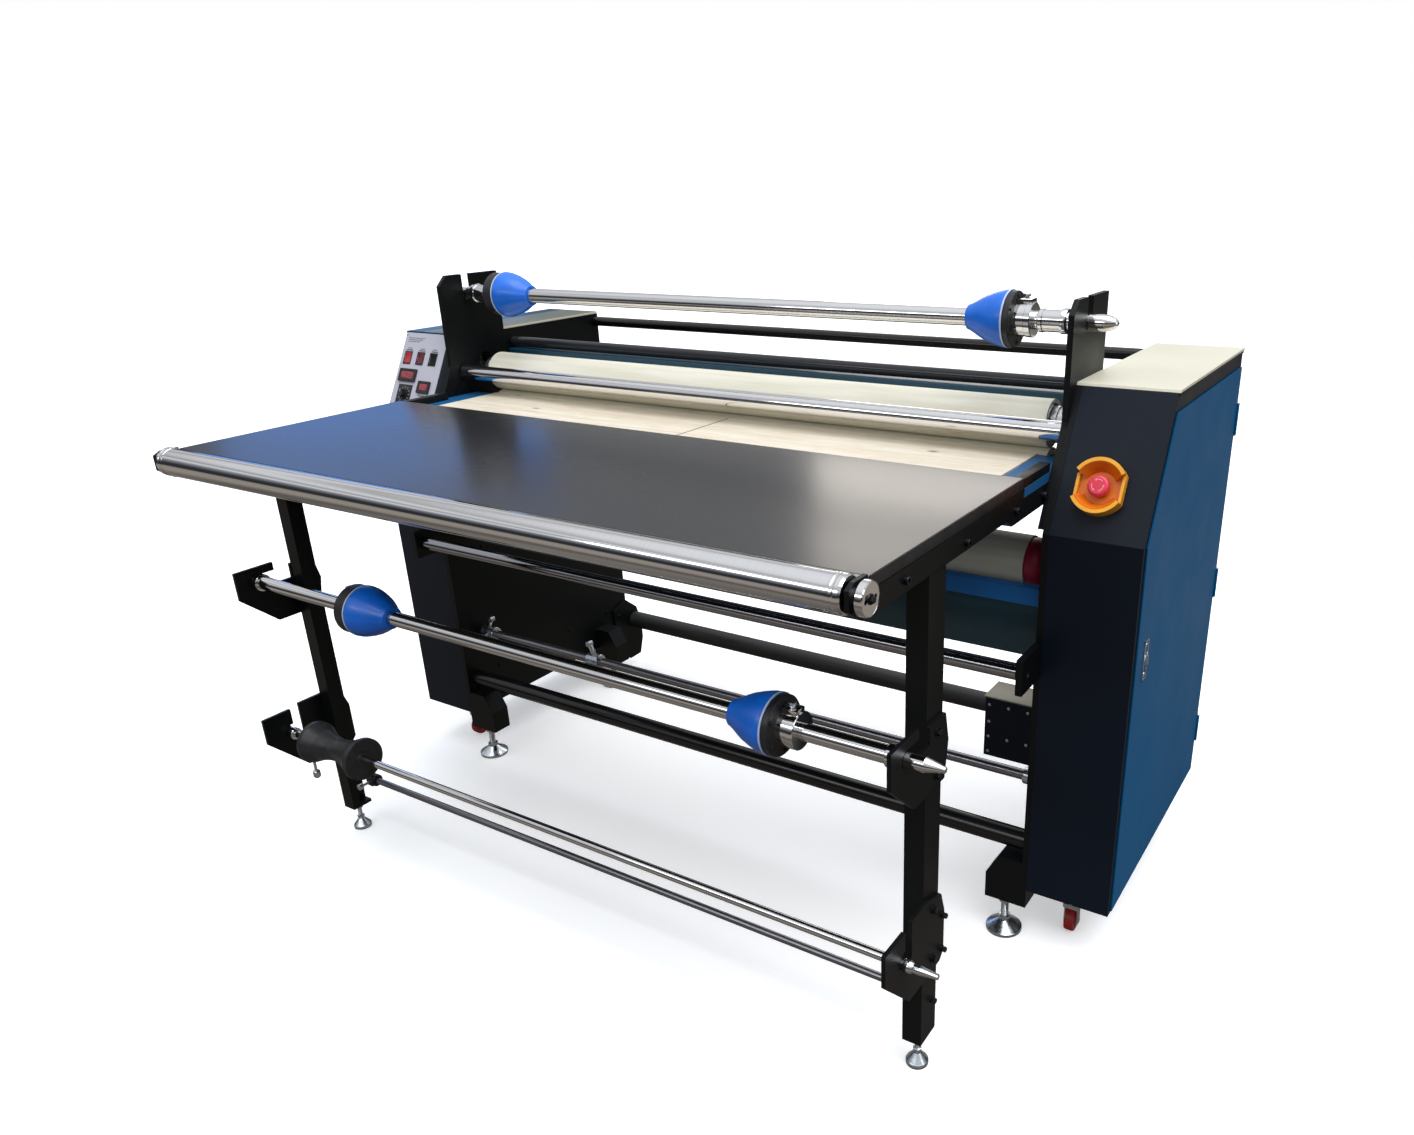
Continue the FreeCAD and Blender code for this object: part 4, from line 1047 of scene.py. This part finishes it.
def chain_links():
    """Rollers, with inner and outer link plates by turns."""
    links = bmesh.new()
    roller = [(0, 0), (0, 3.4), (6.8, 3.4), (6.8, 0)]
    points = chain_path()
    for index, point in enumerate(points):
        after = points[(index + 1) % len(points)]
        step = after - point
        lathe(links, (CHAIN_X - 3.4, point.x, point.y), (1, 0, 0), roller, 12)
        middle = (point + after) / 2.0
        spread = 3.6 if index % 2 else 4.7
        half = (0.5, step.length / 2.0 + 3.2, 3.4)
        lie = Matrix.Rotation(atan2(step.y, step.x), 4, "X")
        for way in SIGNS:
            bar(links, (CHAIN_X + way * spread, middle.x, middle.y), half, 0.0, FRAME, lie)
    chain = piece("chain_links", links, BLACK_STEEL, smooth=40.0)
    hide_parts("drive_chain")


def drive_details():
    """Cooling fins, terminal box and fan cowl on the motor; screws of the drive and bearings."""
    x, y, z = 995.0, *MOTOR_AXIS[1:]
    fins = bmesh.new()
    for index in range(28):
        angle = 2.0 * pi * index / 28
        centre = (x + 41.0 * cos(angle), 475.0, z + 41.0 * sin(angle))
        if centre[0] < 1035.5:
            bar(fins, centre, (3.0, 74.0, 0.8), 0.3, FRAME, Matrix.Rotation(-angle, 4, "Y"))
    block(fins, (x - 30.0, 420.0, z + 40.0), (x + 30.0, 490.0, z + 70.0), 3.0)
    cowl = [(0.0, 40.5), (4.0, 42.0), (18.0, 41.0), (22.0, 36.0), (22.0, 10.0)]
    lathe(fins, (x, 560.0, z), (0, 1, 0), cowl, 48)
    piece("motor_fins", fins, MOTOR)

    screws = bmesh.new()
    for across in (-48.0, 48.0):
        for up in (-48.0, 48.0):
            cap_screw(screws, (955.0, y + across, z + up), (-1, 0, 0), 5.0, 5.0)
    for sign in SIGNS:
        for up in (980.0, 1054.0):
            for across in (184.0, 258.0):
                cap_screw(screws, (sign * 916.0, across, up), (sign, 0, 0), 5.0, 5.0)
        hex_bolt(screws, (sign * 908.0, 315.0, 1030.0), (0, 0, 1), 12.0, 5.0)
    piece("drive_screws", screws, ZINC)


# -------------------- stage, light, camera

def set_stage():
    bpy.ops.mesh.primitive_plane_add(size=40.0, location=(0.0, 0.0, -0.0004))
    floor = bpy.context.object
    floor.name = "floor"
    finish = Finish("floor_paper", specular=0.0)
    tone = finish.noise(0.6, 3.0)
    finish.colour(finish.ramp(tone, [(0.3, (0.90, 0.90, 0.90)), (0.7, (0.93, 0.93, 0.93))]))
    finish.rough(finish.span(tone, 0.75, 0.85))
    put(finish.shader, {"Emission Color": (1.0, 1.0, 1.0, 1.0), "Emission Strength": 0.34})
    floor.data.materials.append(finish.mat)
    floor.visible_glossy = False
    floor.visible_diffuse = False


def soft_light(name, place, aim, size, power, colour=(1.0, 1.0, 1.0)):
    data = bpy.data.lights.new(name, "AREA")
    data.shape = "RECTANGLE"
    data.size, data.size_y = size
    data.energy = power
    data.color = colour
    obj = bpy.data.objects.new(name, data)
    obj.location = place
    obj.rotation_euler = (Vector(aim) - Vector(place)).to_track_quat("-Z", "Y").to_euler()
    obj.visible_camera = False
    link(obj)


# Sky colours from straight down, at 0, to straight up, at 1.
SOFT_SKY = (
    (0.0, (0.14, 0.13, 0.12)), (0.40, (0.10, 0.10, 0.10)), (0.52, (0.18, 0.19, 0.20)),
    (0.62, (0.26, 0.28, 0.30)), (0.72, (0.60, 0.64, 0.68)), (1.0, (0.90, 0.95, 1.04)),
)
CRISP_SKY = (
    (0.0, (0.10, 0.09, 0.08)), (0.16, (0.20, 0.18, 0.16)), (0.24, (0.11, 0.10, 0.09)),
    (0.32, (0.32, 0.29, 0.25)), (0.42, (0.30, 0.27, 0.24)), (0.455, (0.03, 0.03, 0.03)),
    (0.54, (0.03, 0.035, 0.04)), (0.60, (0.14, 0.15, 0.17)), (0.65, (0.34, 0.35, 0.38)),
    (0.68, (0.80, 0.82, 0.85)), (0.71, (0.34, 0.34, 0.35)), (0.76, (0.78, 0.79, 0.82)),
    (0.80, (0.46, 0.46, 0.47)), (0.87, (0.80, 0.82, 0.84)), (1.0, (0.92, 0.95, 1.00)),
)


def set_world():
    """White to the eye; a soft sky to light by, and a crisper one to be mirrored in metal."""
    world = bpy.data.worlds.new("studio")
    bpy.context.scene.world = world
    world.use_nodes = True
    nodes, links = world.node_tree.nodes, world.node_tree.links
    split = nodes.new("ShaderNodeSeparateXYZ")
    links.new(nodes.new("ShaderNodeTexCoord").outputs["Generated"], split.inputs["Vector"])
    height = nodes.new("ShaderNodeMapRange")
    put(height, {"From Min": -1.0})
    links.new(split.outputs["Z"], height.inputs["Value"])
    soft = colour_ramp(nodes, links, height.outputs["Result"], SOFT_SKY)
    crisp = colour_ramp(nodes, links, height.outputs["Result"], CRISP_SKY)
    rays = nodes.new("ShaderNodeLightPath").outputs
    sky = colour_mix(nodes, links, rays["Is Glossy Ray"], soft, crisp)
    seen = colour_mix(nodes, links, rays["Is Camera Ray"], sky, (1.0, 1.0, 1.0))
    links.new(seen, nodes["Background"].inputs["Color"])


def set_light():
    set_world()
    sun = bpy.data.lights.new("sky_light", "SUN")
    sun.energy = 2.3
    sun.angle = radians(60.0)
    lamp = bpy.data.objects.new("sky_light", sun)
    lamp.rotation_euler = (radians(6.0), radians(16.0), 0.0)
    link(lamp)
    soft_light("front_strip", (-0.6, -3.6, 2.6), (0.0, -0.4, 0.9), (3.4, 0.5), 22.0)
    soft_light("right_fill", (5.0, -0.6, 1.9), (0.9, 0.0, 0.7), (1.4, 2.4), 14.0)
    soft_light("cool_card", (-4.6, 2.6, 1.9), (-0.6, -0.3, 1.0), (2.0, 1.3), 9.0, (0.10, 0.34, 1.0))
    soft_light("warm_card", (-0.9, 3.3, 2.3), (0.7, -0.2, 1.1), (1.4, 1.1), 12.0, (1.0, 0.93, 0.84))


def set_camera():
    data = bpy.data.cameras.new("view")
    data.sensor_width = 36.0
    data.lens = 27.2235
    data.shift_x = -0.08065
    data.shift_y = 0.0386
    data.clip_end = 100.0
    camera = bpy.data.objects.new("view", data)
    camera.location = (1.53147, -1.90559, 1.59815)
    camera.rotation_euler = [radians(turn) for turn in (67.30616, 1.24325, 31.26443)]
    link(camera)
    bpy.context.scene.camera = camera
    bpy.context.scene.view_settings.view_transform = "Standard"


set_camera()
set_stage()
set_light()
dress_nodes()
cabinet_details()
door_details()
hinge_caps()
panel_print()
panel_fittings()
knob_details()
estop_guard()
estop_button()
roller_details()
cone_details()
shaft_details()
frame_bolts()
rod_fittings()
drive_box_details()
table_details()
foot_threads()
wheel_hubs()
chain_links()
drive_details()
